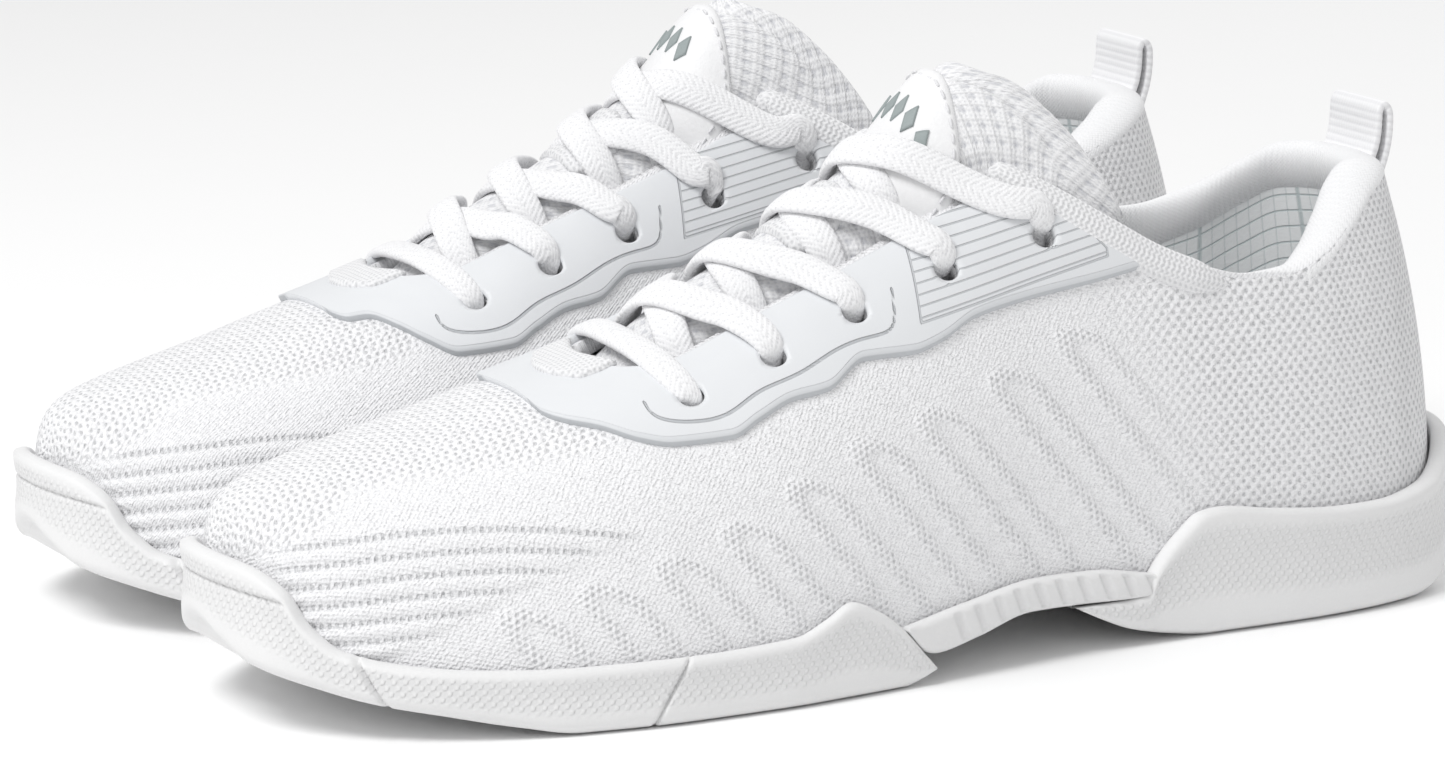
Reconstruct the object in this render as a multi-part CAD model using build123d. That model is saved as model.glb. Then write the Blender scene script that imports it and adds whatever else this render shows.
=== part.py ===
from build123d import *
import math
import os

# A pair of knitted cheer shoes. The left shoe stands on the +X side, the right shoe is its mirror
# image on the -X side. Heels point to +Y, toes to -Y, and the soles stand on z = 0.
# Each shoe is drawn in its own frame: x towards the little toe, u forwards from the heel, z up.
# A point (x, u, z) lies at (x, -u, z), and the finished shoe is moved to its place in the pair.
# All dimensions are in millimetres.

LENGTH = 262.0            # sole, from the back of the heel to the tip of the toe
SPACING = 95.2            # between the centre lines of the two shoes
REACH = 80.0              # half-width of a cutting prism, wider than a shoe
HIGH = 140.0              # height of a cutting prism, higher than a shoe

# Sole stack
CUP_WALL = 3.0            # rubber side wall of the outsole cups
GAP = 0.3                 # clearance between neighbouring curved walls
BOARD_THICK = 1.4
INSOLE_THICK = 4.0
TOE_FLEX_U = 188.0        # flex groove across the ball, where the toe bends up
FLEX_SLIT = 0.8
TOE_GROOVE_U = 241.0      # second groove, engraved in the side wall only
ENGRAVE = 0.7

# Upper, as depths in from the side of the sole
KNIT_OUT = CUP_WALL + GAP
KNIT_THICK = 2.8
STIFFENER_THICK = 1.2
COLLAR_THICK = 4.6
LINING_THICK = 0.8
OVERLAY_THICK = 1.0
LAYER_GAP = 0.2

# The inset of a wall fades out as the sole narrows towards its two ends
END_ROUND = 13.0

# Dome exponents: the cross-section of the upper is a superellipse
ACROSS = 2.6
UPWARDS = 2.0
TONGUE_ACROSS = 2.2

# Throat, eyelets and lace
THROAT_X = 1.8            # the throat's centre line, beside the shoe's
THROAT_HALF = 14.2
THROAT_FRONT_U = 185.0
THROAT_BACK_U = 96.0
EYELET_U = [174.0, 157.0, 139.5, 120.0, 99.0]
EYELET_LATERAL_X = [25.7, 25.6, 24.3, 23.7, 23.2]
EYELET_MEDIAL_X = [-22.2, -20.8, -19.2, -18.6, -18.8]
EYELET_RADIUS = 2.4
LACE_RADIUS = 1.4
LACE_LIFT = 3.4           # height of a lace's centre over a surface that it lies on
CROSSING_U = [168.0, 155.0, 139.5, 124.0]
LACE_DIVE = 6.0           # depth of its centre where it passes under the eyestay
AGLET_RADIUS = 2.0
AGLET_LENGTH = 14.0

TONGUE_THICK = 5.0
PATCH_THICK = 0.8
TAB_WIDTH = 15.0
TAB_HEIGHT = 14.5
TAB_DEPTH = 5.0
TAB_WEB = 1.9

# Half-widths of the sole against the distance from the heel
SOLE_LATERAL = [(0, 0), (5, 17), (15, 26), (30, 31.2), (45, 33.2), (75, 34.2), (100, 36), (125, 40.3),
                (150, 44.6), (165, 46.3), (185, 46.8), (205, 44.8), (220, 41), (235, 35), (246, 28),
                (254, 20), (262, -3)]
SOLE_MEDIAL = [(0, 0), (5, -17), (15, -26), (30, -31.5), (45, -33), (75, -31.5), (100, -29.5), (125, -31),
               (150, -36.5), (170, -41.5), (190, -44.5), (205, -45), (220, -44), (235, -41), (246, -33),
               (254, -24.5), (262, -3)]

# Heights against the distance from the heel
RIDGE = [(0, 38), (1, 43), (4.5, 58), (7.5, 70), (9.5, 78.5), (12, 88), (19, 104), (27, 110), (40, 113),
         (60, 112), (80, 106), (102, 97), (124, 86.3), (141, 78), (160, 69.8), (176, 63.2), (190, 58.8),
         (207, 54.3), (221, 50.6), (236, 47.2), (246, 45), (254, 42.7), (259, 39.5), (262, 32)]
RIDGE_X = [(0, 0), (120, 0), (190, -1.2), (225, -2.5), (262, -3)]
FOOTBED = [(0, 16.5), (50, 16), (70, 14.2), (81, 12.8), (108, 13.2), (123, 11), (140, 8.3), (160, 7.5),
           (205, 7.5), (220, 9), (235, 11.5), (250, 15), (262, 18)]
TONGUE_RIDGE = [(70, 113), (95, 112), (104, 110.3), (110, 108.6), (115, 105), (122, 97.3), (130, 90.3),
                (140, 83.5), (155, 75.5), (167, 69.3), (176, 63), (183, 57.2), (193, 52.5)]
TONGUE_BASE = [(70, 45), (95, 51), (112, 55), (130, 52), (160, 45), (175, 42), (193, 37)]
TONGUE_HALF = [(70, 18.4), (90, 17.2), (100, 14.8), (106, 13.4), (113, 12.2), (193, 12.2)]

# Side outlines, as (u, z)
TOE_CUP_TOP = [(150.5, 18), (155.6, 15.6), (163, 13), (183, 12.3), (207, 12.3), (224, 12.8), (236, 14),
               (246, 16.4), (251, 21), (254, 27), (258, 30.6), (264, 32.6)]
TOE_CUP_BOTTOM = [(138, 0), (206, 0), (217, 1.7), (231, 4.6), (240, 6.4), (250, 9.2), (258, 12.2),
                  (261, 16), (264, 24)]
HEEL_CUP_TOP = [(-2, 33), (3, 30), (8, 25.5), (14, 22.7), (26, 21.3), (36, 21.5), (53, 23.1), (65, 24.7),
                (69, 24.2), (73, 21.5), (80.5, 13.6)]
TOPLINE_LATERAL = [(-6, 83.5), (16, 83.5), (22, 83.5), (27, 81.5), (32, 77), (38, 72), (47, 69), (56, 69),
                   (65, 71), (75, 75), (85, 81), (96, 88), (106, 94)]
TOPLINE_MEDIAL = [(-6, 83.5), (16, 83.5), (22, 83), (30, 79.2), (40, 76), (53, 74.5), (65, 75),
                  (75, 77.5), (85, 82), (96, 88.5), (106, 94)]
OVERLAY_EDGE = [(73, 72.2), (88.5, 69.6), (104, 67.6), (116, 65.4), (124, 61.8), (130, 60.2), (140, 59.9),
                (148.5, 55.4), (156, 54.2), (163, 51.4), (169, 48.8), (180, 48.3), (191, 51), (199, 52.6),
                (202, 57)]
OVERLAY_REAR = [(84, 77), (95, 83.5), (106, 87.5)]


def smooth(table, at):
    """Smooth curve through (station, value) pairs that never overshoots them."""
    steps = [table[i + 1][0] - table[i][0] for i in range(len(table) - 1)]
    slopes = [(table[i + 1][1] - table[i][1]) / steps[i] for i in range(len(steps))]
    tangents = [slopes[0]]
    for before, after in zip(slopes, slopes[1:]):
        level = before * after <= 0
        tangents.append(0.0 if level else 2 * before * after / (before + after))
    tangents.append(slopes[-1])
    at = min(max(at, table[0][0]), table[-1][0])
    i = 0
    while i < len(steps) - 1 and at > table[i + 1][0]:
        i += 1
    t = (at - table[i][0]) / steps[i]
    start = (1 + 2 * t) * (1 - t) ** 2 * table[i][1] + t * (1 - t) ** 2 * steps[i] * tangents[i]
    end = t * t * (3 - 2 * t) * table[i + 1][1] + t * t * (t - 1) * steps[i] * tangents[i + 1]
    return start + end


def turn(u):
    """Angle that spreads stations so that the rounded heel and toe stay round."""
    return math.acos(min(1, max(-1, 1 - 2 * u / LENGTH)))


def side_x(table, u):
    return smooth([(turn(station), value) for station, value in table], turn(u))


def at(x, u, z):
    return Vector(x, -u, z)


# ---- Solids that cut the layers out ----

def half_widths(u, inset):
    """Centre line and the two half-widths of the plan at station u, moved in by inset."""
    x_mid = smooth(RIDGE_X, u)
    halves = []
    for half in (side_x(SOLE_LATERAL, u) - x_mid, x_mid - side_x(SOLE_MEDIAL, u)):
        halves.append(half - inset * half / math.hypot(half, END_ROUND))
    return x_mid, halves[0], halves[1]


def place(u, inset):
    """Distance from the heel of a station, on a plan that is shorter by inset at both ends."""
    return LENGTH / 2 + (u - LENGTH / 2) * (1 - 2 * inset / LENGTH)


def unplace(u, inset):
    return LENGTH / 2 + (u - LENGTH / 2) / (1 - 2 * inset / LENGTH)


def sole_prism(inset, low=-1.0, high=HIGH):
    """Upright prism over the plan of the sole, moved in by inset."""
    count = 18
    loop = []
    for i in range(2 * count):
        u = LENGTH * (1 - math.cos(math.pi * i / count)) / 2
        x_mid, plus, minus = half_widths(u, inset)
        x = x_mid + plus if i < count else x_mid - minus
        loop.append(at(x, place(u, inset), low))
    return extrude(make_face(Spline(loop, periodic=True)), amount=high - low, dir=(0, 0, 1))


def side_prism(points, x_low=-REACH, x_high=REACH, smooth_top=None):
    """Prism across the shoe over a side outline; smooth_top closes the outline with a curve."""
    corners = [at(x_low, u, z) for u, z in points]
    if smooth_top:
        curve = [at(x_low, u, z) for u, z in smooth_top]
        edges = Polyline([curve[-1]] + corners + [curve[0]]) + Spline(curve)
    else:
        edges = Polyline(corners, close=True)
    return extrude(make_face(edges), amount=x_high - x_low, dir=(1, 0, 0))


def layer_prism(table, rise, start, end, top):
    """Side prism between a height table, raised by rise, and the height top."""
    count = 24
    stations = [start + (end - start) * i / count for i in range(count + 1)]
    curve = [(u, smooth(table, u) + rise) for u in stations]
    return side_prism([(end, top), (start, top)], smooth_top=curve)


def arch(x_mid, plus, minus, base, ridge, power, u, skirt):
    """Flat-bottomed superellipse arch at station u, with straight sides down to base - skirt."""
    count = 12
    points = []
    for i in range(count + 1):
        angle = math.pi * i / count
        half = plus if 2 * i <= count else minus
        away = math.copysign(abs(math.cos(angle)) ** (2 / power), math.cos(angle))
        up = abs(math.sin(angle)) ** (2 / UPWARDS)
        points.append(at(x_mid + half * away, u, base + (ridge - base) * up))
    # the same parameters at every station keep a lofted surface simple
    curve = Edge.make_spline(points, parameters=[i / count for i in range(count + 1)])
    feet = [points[-1], at(x_mid - minus, u, base - skirt), at(x_mid + plus, u, base - skirt), points[0]]
    return make_face([curve] + Polyline(feet).edges())


def dome(inset, skirt=0.01):
    """Foot-shaped solid whose surface lies inset in from the side of the sole."""
    stations = [0.8, 2.5, 5, 8.5, 13, 19, 28, 42, 60, 80, 102, 122, 140, 158, 174, 190, 206, 221, 235, 246,
                254, 259, 261.2]
    faces = []
    for u in stations:
        x_mid, plus, minus = half_widths(u, inset)
        ridge = smooth(RIDGE, u) - (inset - KNIT_OUT)
        faces.append(arch(x_mid, plus, minus, smooth(FOOTBED, u), ridge, ACROSS, place(u, inset), skirt))
    return loft(faces)


def dome_z(x, u, inset=KNIT_OUT):
    """Height of a dome's surface over a plan point."""
    station = unplace(u, inset)
    x_mid, plus, minus = half_widths(station, inset)
    half = plus if x > x_mid else minus
    base = smooth(FOOTBED, station)
    ridge = smooth(RIDGE, station) - (inset - KNIT_OUT)
    return base + (ridge - base) * (1 - min(1, abs(x - x_mid) / half) ** ACROSS) ** (1 / UPWARDS)


def dome_normal(x, u):
    step = 0.5
    slope_x = (dome_z(x + step, u) - dome_z(x - step, u)) / (2 * step)
    slope_u = (dome_z(x, u + step) - dome_z(x, u - step)) / (2 * step)
    return Vector(-slope_x, slope_u, 1).normalized()


def tongue_dome(inset, skirt=0.01):
    """Arched solid over the instep; its surface lies inset inside the tongue's."""
    faces = []
    for u in [72, 84, 95, 104, 110, 116, 123, 132, 144, 156, 167, 176, 184, 192]:
        half = smooth(TONGUE_HALF, u) - inset
        ridge = smooth(TONGUE_RIDGE, u) - inset
        faces.append(arch(THROAT_X, half, half, smooth(TONGUE_BASE, u), ridge, TONGUE_ACROSS, u, skirt))
    return loft(faces)


def tongue_z(x, u):
    half = smooth(TONGUE_HALF, u)
    base = smooth(TONGUE_BASE, u)
    away = min(1, abs(x - THROAT_X) / half)
    return base + (smooth(TONGUE_RIDGE, u) - base) * (1 - away ** TONGUE_ACROSS) ** (1 / UPWARDS)


def shell(outer, inner):
    """Wall between two depths of the dome."""
    return dome(outer) - dome(inner, skirt=8)


def topline_cut(lower=0.0):
    """Everything above the rim of the ankle opening, which is higher on the inner side."""
    cuts = []
    for rim, x_low, x_high in ((TOPLINE_LATERAL, 0, REACH), (TOPLINE_MEDIAL, -REACH, 0)):
        edge = [(u, z - lower) for u, z in rim]
        cuts.append(side_prism([(106, HIGH), (-6, HIGH)], x_low, x_high, smooth_top=edge))
    return cuts[0] + cuts[1]


def throat_cut(grow=0.0):
    """Slot over the instep, round at the front and open to the ankle."""
    half = THROAT_HALF + grow
    front = THROAT_FRONT_U + grow - half
    left = at(THROAT_X - half, front, 40)
    right = at(THROAT_X + half, front, 40)
    tip = at(THROAT_X, front + half, 40)
    sides = Polyline(left, at(THROAT_X - half, THROAT_BACK_U - 4, 40),
                     at(THROAT_X + half, THROAT_BACK_U - 4, 40), right)
    return extrude(make_face(sides + ThreePointArc(right, tip, left)), amount=HIGH - 40, dir=(0, 0, 1))


def eyelets():
    """(x, u) of each eyelet, with +1 on the outer side and -1 on the inner side."""
    sides = ((1, EYELET_LATERAL_X), (-1, EYELET_MEDIAL_X))
    return {(side, row): (xs[row], EYELET_U[row]) for side, xs in sides for row in range(len(xs))}


def eyelet_drills(radius):
    drills = []
    for x, u in eyelets().values():
        axis = dome_normal(x, u)
        start = at(x, u, dome_z(x, u)) - axis * 7
        drills.append(Plane(origin=start, z_dir=axis) * Cylinder(radius, 14, align=(Align.CENTER, Align.CENTER, Align.MIN)))
    return drills


# ---- Sole ----

def toe_cup():
    """Front rubber cup: floor, side wall, toe bumper and the tail that sweeps up at the ball."""
    tail = [(150.5, 18), (144.4, 15.6), (138.7, 11.4), (133.3, 5.4), (131.5, 3), (138, 0)]
    outline = Polyline([at(-REACH, u, z) for u, z in tail])
    outline += Spline([at(-REACH, u, z) for u, z in TOE_CUP_BOTTOM[1:]])
    outline += Polyline(at(-REACH, 138, 0), at(-REACH, 206, 0))
    outline += Polyline(at(-REACH, 264, 24), at(-REACH, 264, 32.6))
    outline += Spline([at(-REACH, u, z) for u, z in TOE_CUP_TOP])
    block = extrude(make_face(outline), amount=2 * REACH, dir=(1, 0, 0)) & sole_prism(0)
    hollow = side_prism([(264, 60), (130, 60)], smooth_top=[(130, 7), (140, 3.6), (160, 3.5), (208, 3.5),
                        (220, 5.6), (235, 8.6), (250, 12.6), (264, 16)])
    return block - (hollow & sole_prism(CUP_WALL - GAP / 2))


def outsole_front():
    """The front cup in two pods, parted at the flex groove."""
    cup = toe_cup()
    half = FLEX_SLIT / 2
    ball = cup & side_prism([(100, -5), (TOE_FLEX_U - half, -5), (TOE_FLEX_U - half, 60), (100, 60)])
    toe = cup & side_prism([(TOE_FLEX_U + half, -5), (280, -5), (280, 60), (TOE_FLEX_U + half, 60)])
    groove = side_prism([(TOE_GROOVE_U - half, -5), (TOE_GROOVE_U + half, -5), (TOE_GROOVE_U + half, 60),
                         (TOE_GROOVE_U - half, 60)])
    toe -= groove & (sole_prism(-2) - sole_prism(ENGRAVE))
    return ball, toe


def outsole_heel():
    """Heel rubber cup, with a nose that runs forward under the shank."""
    bottom = [(79, 8.8), (85.7, 8.3), (98.2, 9.1), (92.4, 6.2), (85.5, 3.4), (76, 1.2), (66, 0),
              (18, 0), (11, 1), (6, 3.6), (2.5, 8), (-1.9, 20)]
    block = side_prism(bottom, smooth_top=HEEL_CUP_TOP) & sole_prism(0)
    hollow = side_prism([(0, 4), (75, 4), (78.6, 8.6), (84, 8.6), (84, 60), (0, 60)]) & sole_prism(CUP_WALL)
    return block - hollow


def shank():
    """Moulded bridge under the arch, a shallow channel with a ribbed side."""
    top = [(80.9, 13.9), (94, 15.8), (107, 16.1), (123, 14.1), (138.2, 11.5)]
    bottom = [(133, 5.7), (130.5, 5), (121, 7), (108.7, 9.8), (98.2, 9.4), (85.7, 8.6), (79.3, 9.1)]
    block = side_prism(bottom, smooth_top=top) & sole_prism(0)
    hollow = side_prism([(60, 11), (86, 11), (98, 11.6), (109, 11.8), (121, 9.4), (130, 7.4), (140, 7.4),
                         (140, 60), (60, 60)]) & sole_prism(CUP_WALL)
    block -= hollow
    ribs = [side_prism([(u, 4), (u + 1, 4), (u + 7, 18), (u + 6, 18)]) for u in range(80, 130, 5)]
    grooves = ribs[0]
    for rib in ribs[1:]:
        grooves += rib
    return block - (grooves & (sole_prism(-2) - sole_prism(ENGRAVE)))


def midsole():
    """Foam wedge that fills the cups up to the footbed."""
    below = [(0, 4.1), (74.9, 4.1), (78.3, 11.3), (98, 11.8), (109, 12), (121, 9.6), (130, 7.6), (138.4, 7.6),
             (141, 3.8), (160, 3.7), (208, 3.7), (220, 5.9), (235, 8.9), (250, 12.9), (262, 16)]
    block = sole_prism(CUP_WALL + GAP) & side_prism(below + [(262, 60), (0, 60)])
    return block - layer_prism(FOOTBED, -GAP, -2, 264, 80)


def bed_layer(inset, bottom, top):
    """Sheet that follows the footbed between two heights over it."""
    block = sole_prism(inset) & layer_prism(FOOTBED, bottom, -2, 264, 80)
    return block - layer_prism(FOOTBED, top, -2, 264, 80)


# ---- Upper ----

def upper():
    """One knitted sock of even thickness, open at the ankle, the throat and the footbed."""
    body = shell(KNIT_OUT, KNIT_OUT + KNIT_THICK) - topline_cut() - throat_cut()
    for drill in eyelet_drills(EYELET_RADIUS):
        body -= drill
    return body


def eyestay():
    """Smooth horseshoe overlay that carries the eyelets, with a wavy lower edge."""
    top = KNIT_OUT - LAYER_GAP - OVERLAY_THICK
    skin = dome(top) - dome(KNIT_OUT - LAYER_GAP, skirt=8)
    rear = [(u, z) for u, z in reversed(OVERLAY_REAR)]
    region = side_prism([(202, HIGH), (106, HIGH)] + rear, smooth_top=OVERLAY_EDGE)
    body = (skin & region) - throat_cut(grow=1.5)
    for drill in eyelet_drills(EYELET_RADIUS):
        body -= drill
    return body


def throat_patch():
    """Stitched reinforcement across the front end of the throat."""
    low = KNIT_OUT - 2 * LAYER_GAP - OVERLAY_THICK
    skin = dome(low - PATCH_THICK) - dome(low, skirt=8)
    pad = side_prism([(187, 40), (194, 40), (194, HIGH), (187, HIGH)], THROAT_X - 11, THROAT_X + 11)
    return skin & pad


def toe_puff():
    """Thin stiffener that holds the toe's shape."""
    depth = KNIT_OUT + KNIT_THICK + GAP
    skin = dome(depth) - dome(depth + STIFFENER_THICK, skirt=8)
    return skin & side_prism([(228, 18), (240, 20), (252, 23), (264, 27), (264, 60), (232, 60)])


def heel_counter():
    """Stiff cup around the heel, between the knit and the lining."""
    depth = KNIT_OUT + KNIT_THICK + GAP
    skin = dome(depth) - dome(depth + STIFFENER_THICK, skirt=8)
    return skin & side_prism([(0, 23), (62, 23), (48, 46), (30, 52), (0, 54)])


def collar_pad():
    """Foam roll around the ankle opening, over the top of the heel counter."""
    depth = KNIT_OUT + KNIT_THICK + GAP
    skin = dome(depth) - dome(depth + COLLAR_THICK, skirt=8)
    region = side_prism([(0, 57), (32, 55), (50, 50), (71, 52), (71, HIGH), (0, HIGH)])
    return (skin & region) - topline_cut(lower=0.8)


def collar_lining():
    """Lining of the heel, inside the foam and the counter."""
    depth = KNIT_OUT + KNIT_THICK + COLLAR_THICK + 2 * GAP
    skin = dome(depth) - dome(depth + LINING_THICK, skirt=8)
    region = side_prism([(0, 24), (64, 24), (71, 52), (71, HIGH), (0, HIGH)])
    return (skin & region) - topline_cut(lower=0.8)


# ---- Tongue ----

def tongue_sheet():
    """Padded tongue, arched over the instep, with a rounded top edge."""
    top = [(78, 81), (83, 90.5), (91, 101), (98, 107.5), (104, 110), (108, 114)]
    below = [(108, HIGH), (194, HIGH), (194, 42), (175, 49), (160, 52), (140, 60), (125, 64), (105, 68),
             (88, 70)]
    body = tongue_dome(0) - tongue_dome(TONGUE_THICK, skirt=40)
    return body & side_prism(below, smooth_top=top)


def tongue():
    """The laced length of the tongue and its free top, parted at the fold over the last lace."""
    sheet = tongue_sheet()
    front = side_prism([(118, 96.6), (80, 60), (80, 30), (220, 30), (220, 130), (130, 130), (119, 101)])
    back = side_prism([(117, 97), (76, 57.5), (60, 70), (60, 130), (129, 130), (118, 101)])
    return sheet & front, sheet & back


def tongue_cover(u_low, u_high, half, bottom, thick):
    """Thin sheet that lies on the tongue."""
    skin = tongue_dome(-bottom - thick) - tongue_dome(-bottom, skirt=40)
    region = side_prism([(u_low, 70), (u_high, 70), (u_high, HIGH), (u_low, HIGH)], THROAT_X - half, THROAT_X + half)
    return skin & region


def emblem():
    """A plain row of small raised lozenges on the tongue's patch."""
    skin = tongue_dome(-LAYER_GAP - PATCH_THICK - 0.6) - tongue_dome(-LAYER_GAP - PATCH_THICK, skirt=40)
    marks = []
    for x in (-7.2, -3.6, 0, 3.6, 7.2):
        middle = THROAT_X + x
        corners = [at(middle - 1.3, 109, 70), at(middle, 111.4, 70), at(middle + 1.3, 109, 70),
                   at(middle, 106.6, 70)]
        lozenge = extrude(make_face(Polyline(corners, close=True)), amount=HIGH - 70, dir=(0, 0, 1))
        marks.append(skin & lozenge)
    return Compound(children=[solid for mark in marks for solid in mark.solids()])


# ---- Lace ----

def over(x, u, lift):
    """Point over the upper's surface, along its normal."""
    return at(x, u, dome_z(x, u)) + dome_normal(x, u) * lift


def over_tongue(x, u, lift):
    """Point above the tongue, raised more where the tongue is steep, so that its clearance is the same."""
    slope = (tongue_z(x, u - 1) - tongue_z(x, u + 1)) / 2
    return at(x, u, tongue_z(x, u) + lift * math.hypot(1, slope))


def crossing(side, row, high):
    """Lace from under the eyestay at one eyelet, over the tongue, and above the next one across."""
    x_near, u_near = eyelets()[(side, row)]
    x_far, u_far = eyelets()[(-side, row + 1)]
    edge_near = THROAT_X + side * THROAT_HALF
    edge_far = THROAT_X - side * THROAT_HALF
    u_mid = CROSSING_U[row]
    u_exit = (u_near + u_mid) / 2 if row < 3 else u_mid
    centre = LACE_LIFT + (4.0 if high else 0)
    x_rise = edge_near - side * 5
    x_bend = THROAT_X - side * 8.5
    u_bend = 0.6 * u_mid + 0.4 * u_far
    x_drop = edge_far + side * 2
    u_drop = u_far + 0.3 * (u_mid - u_far)
    return [
        over(x_near, u_near, -LACE_DIVE),
        at(edge_near - side * 1.9, u_exit, dome_z(edge_near, u_exit) - 5.2),
        over_tongue(x_rise, u_exit - 1, LACE_LIFT + 2.3),
        over_tongue(THROAT_X + side * 2.5, u_mid + 1, centre),
        over_tongue(THROAT_X - side * 2.5, u_mid - 1, centre),
        over_tongue(x_bend, u_bend, LACE_LIFT + (4.0 if high else 3.2)),
        over(x_drop, u_drop, LACE_LIFT + 2.2),
        over(x_far, u_far, LACE_LIFT + 1.2)]


def tail(side):
    """Loose end, tucked down inside the shoe along the side wall."""
    x, u = eyelets()[(side, len(EYELET_U) - 1)]
    start = over(x, u, -4.7)
    return [start, at(x - side * 0.5, u + 5, 62), at(x + side * 1.5, u + 13, 48), at(x + side * 2, u + 27, 38)]


def lace_route():
    """Route of one lace from aglet to aglet through all the eyelets."""
    halves = []
    for first in (1, -1):
        points = [over(*eyelets()[(first, 0)], LACE_LIFT + 1.2)]
        side = first
        for row in range(len(EYELET_U) - 1):
            points += crossing(side, row, high=(side < 0))
            side = -side
        halves.append(points + tail(side))
    bar = [at(THROAT_X + side * 9, THROAT_FRONT_U - 8.5, dome_z(THROAT_X + side * 9, 183) + LACE_LIFT + 3.4)
           for side in (1, -1)]
    return list(reversed(halves[0])) + bar + halves[1]


def lace_path(points):
    """Straight runs joined by tangent arcs, each as large as its two runs allow."""
    radii = []
    for before, here, after in zip(points, points[1:], points[2:]):
        first = here - before
        second = after - here
        half_turn = math.radians(first.get_angle(second)) / 2
        radii.append(0.45 * min(first.length, second.length) / math.tan(half_turn))
    path = FilletPolyline(points, radius=radii)
    print("lace", round(path.length, 1), "mm, tightest bend", round(min(radii), 2), "mm")
    return path


def round_tube(path, radius):
    start = Plane(origin=path @ 0, z_dir=path % 0)
    return sweep(start * Circle(radius), path=path)


def lace_and_aglets():
    path = lace_path(lace_route())
    lace = round_tube(path, LACE_RADIUS)
    ends = []
    for end, sign in ((0, -1), (1, 1)):
        plane = Plane(origin=path @ end, z_dir=(path % end) * sign)
        ends.append(plane * Cylinder(AGLET_RADIUS, AGLET_LENGTH, align=(Align.CENTER, Align.CENTER, Align.MIN)))
    return lace, Compound(children=[solid for end in ends for solid in end.solids()])


# ---- Pull tab ----

def pull_tab():
    """Loop of ribbed webbing standing on the back of the collar, leaning slightly back."""
    loop = SlotOverall(TAB_HEIGHT, TAB_DEPTH) - SlotOverall(TAB_HEIGHT - 2 * TAB_WEB, TAB_DEPTH - 2 * TAB_WEB)
    solid = extrude(Plane.YZ * Rot(0, 0, 90) * loop, amount=TAB_WIDTH / 2, both=True)
    return Pos(0, -16.5, 84.6 + TAB_HEIGHT / 2) * Rot(-6, 0, 0) * solid


def shoe():
    """Every piece of the left shoe, by name, in the shoe's own frame."""
    ball, toe = outsole_front()
    tongue_lower, tongue_top = tongue()
    lace, aglets = lace_and_aglets()
    inside = KNIT_OUT + KNIT_THICK + GAP
    return {
        "outsole_toe": toe,
        "outsole_ball": ball,
        "outsole_heel": outsole_heel(),
        "shank": shank(),
        "midsole": midsole(),
        "insole_board": bed_layer(inside, 0.1, BOARD_THICK),
        "insole": bed_layer(inside + GAP, BOARD_THICK + 0.1, BOARD_THICK + INSOLE_THICK),
        "upper": upper(),
        "eyestay_overlay": eyestay(),
        "throat_patch": throat_patch(),
        "toe_puff": toe_puff(),
        "heel_counter": heel_counter(),
        "collar_pad": collar_pad(),
        "collar_lining": collar_lining(),
        "tongue_lower": tongue_lower,
        "tongue_top": tongue_top,
        "tongue_patch": tongue_cover(99, 112, 10, LAYER_GAP, PATCH_THICK),
        "emblem": emblem(),
        "lace_keeper": tongue_cover(143.5, 151, 5, LAYER_GAP, PATCH_THICK),
        "lace": lace,
        "aglets": aglets,
        "pull_tab": pull_tab(),
    }


def main():
    os.makedirs("parts", exist_ok=True)
    to_pair = Location((SPACING / 2, LENGTH / 2, 0))
    for name, piece in shoe().items():
        left = to_pair * Compound(children=list(piece.solids()))
        export_step(left, f"parts/left_{name}.step")
        export_step(mirror(left, about=Plane.YZ), f"parts/right_{name}.step")


main()
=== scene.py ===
import math

import bmesh
import bpy
import numpy as np
from mathutils import Matrix, Vector


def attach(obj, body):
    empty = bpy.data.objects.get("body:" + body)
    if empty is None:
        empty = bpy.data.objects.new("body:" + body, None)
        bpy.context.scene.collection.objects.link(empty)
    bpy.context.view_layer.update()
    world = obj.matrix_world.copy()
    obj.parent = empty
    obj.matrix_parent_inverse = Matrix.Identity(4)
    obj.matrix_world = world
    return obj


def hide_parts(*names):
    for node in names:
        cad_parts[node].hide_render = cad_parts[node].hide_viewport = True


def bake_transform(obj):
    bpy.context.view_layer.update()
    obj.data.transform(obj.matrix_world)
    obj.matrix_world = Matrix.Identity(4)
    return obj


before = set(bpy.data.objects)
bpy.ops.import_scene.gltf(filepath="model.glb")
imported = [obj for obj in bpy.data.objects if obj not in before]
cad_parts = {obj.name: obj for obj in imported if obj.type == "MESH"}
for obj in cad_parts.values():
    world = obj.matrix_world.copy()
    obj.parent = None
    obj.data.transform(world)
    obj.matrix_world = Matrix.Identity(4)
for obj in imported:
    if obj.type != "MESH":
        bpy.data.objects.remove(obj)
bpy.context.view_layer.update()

# A pair of white knitted cheer shoes. Every piece is worked out for the left shoe in its own frame,
# (x, u, z) in millimetres: x towards the little toe, u forwards from the heel, z up. to_world() puts
# it in the row frame in metres, mirrored for the right shoe.

MM = 0.001
LENGTH = 262.0            # of the sole
SPACING = 95.2            # from the left shoe's centre line to the right one's
KNIT_OUT = 3.3            # depth of the knit in from the side of the sole
KNIT_THICK = 2.8
FILM_THICK = 1.15         # of the eyestay film
ARC_PITCH = 3.5           # height of one row of the eyelets round the toe
END_ROUND = 13.0          # half width under which a depth in from the side counts for less
ACROSS = 2.6              # exponent of the upper's cross-section, 2 for an ellipse
TONGUE_ACROSS = 2.45      # the same for the tongue
THROAT_X = 1.8            # centre line of the throat
THROAT_HALF = 14.2
THROAT_FRONT_U = 185.0
TOE_FLEX_U = 188.0        # groove where the toe bends
TOE_GROOVE_U = 241.0      # second groove, for looks
EYELET_U = [174.0, 157.0, 139.5, 120.0, 99.0]
EYELET_LATERAL_X = [25.7, 25.6, 24.3, 23.7, 23.2]
EYELET_MEDIAL_X = [-22.2, -20.8, -19.2, -18.6, -18.8]
EYELET_RADIUS = 2.7
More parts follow.
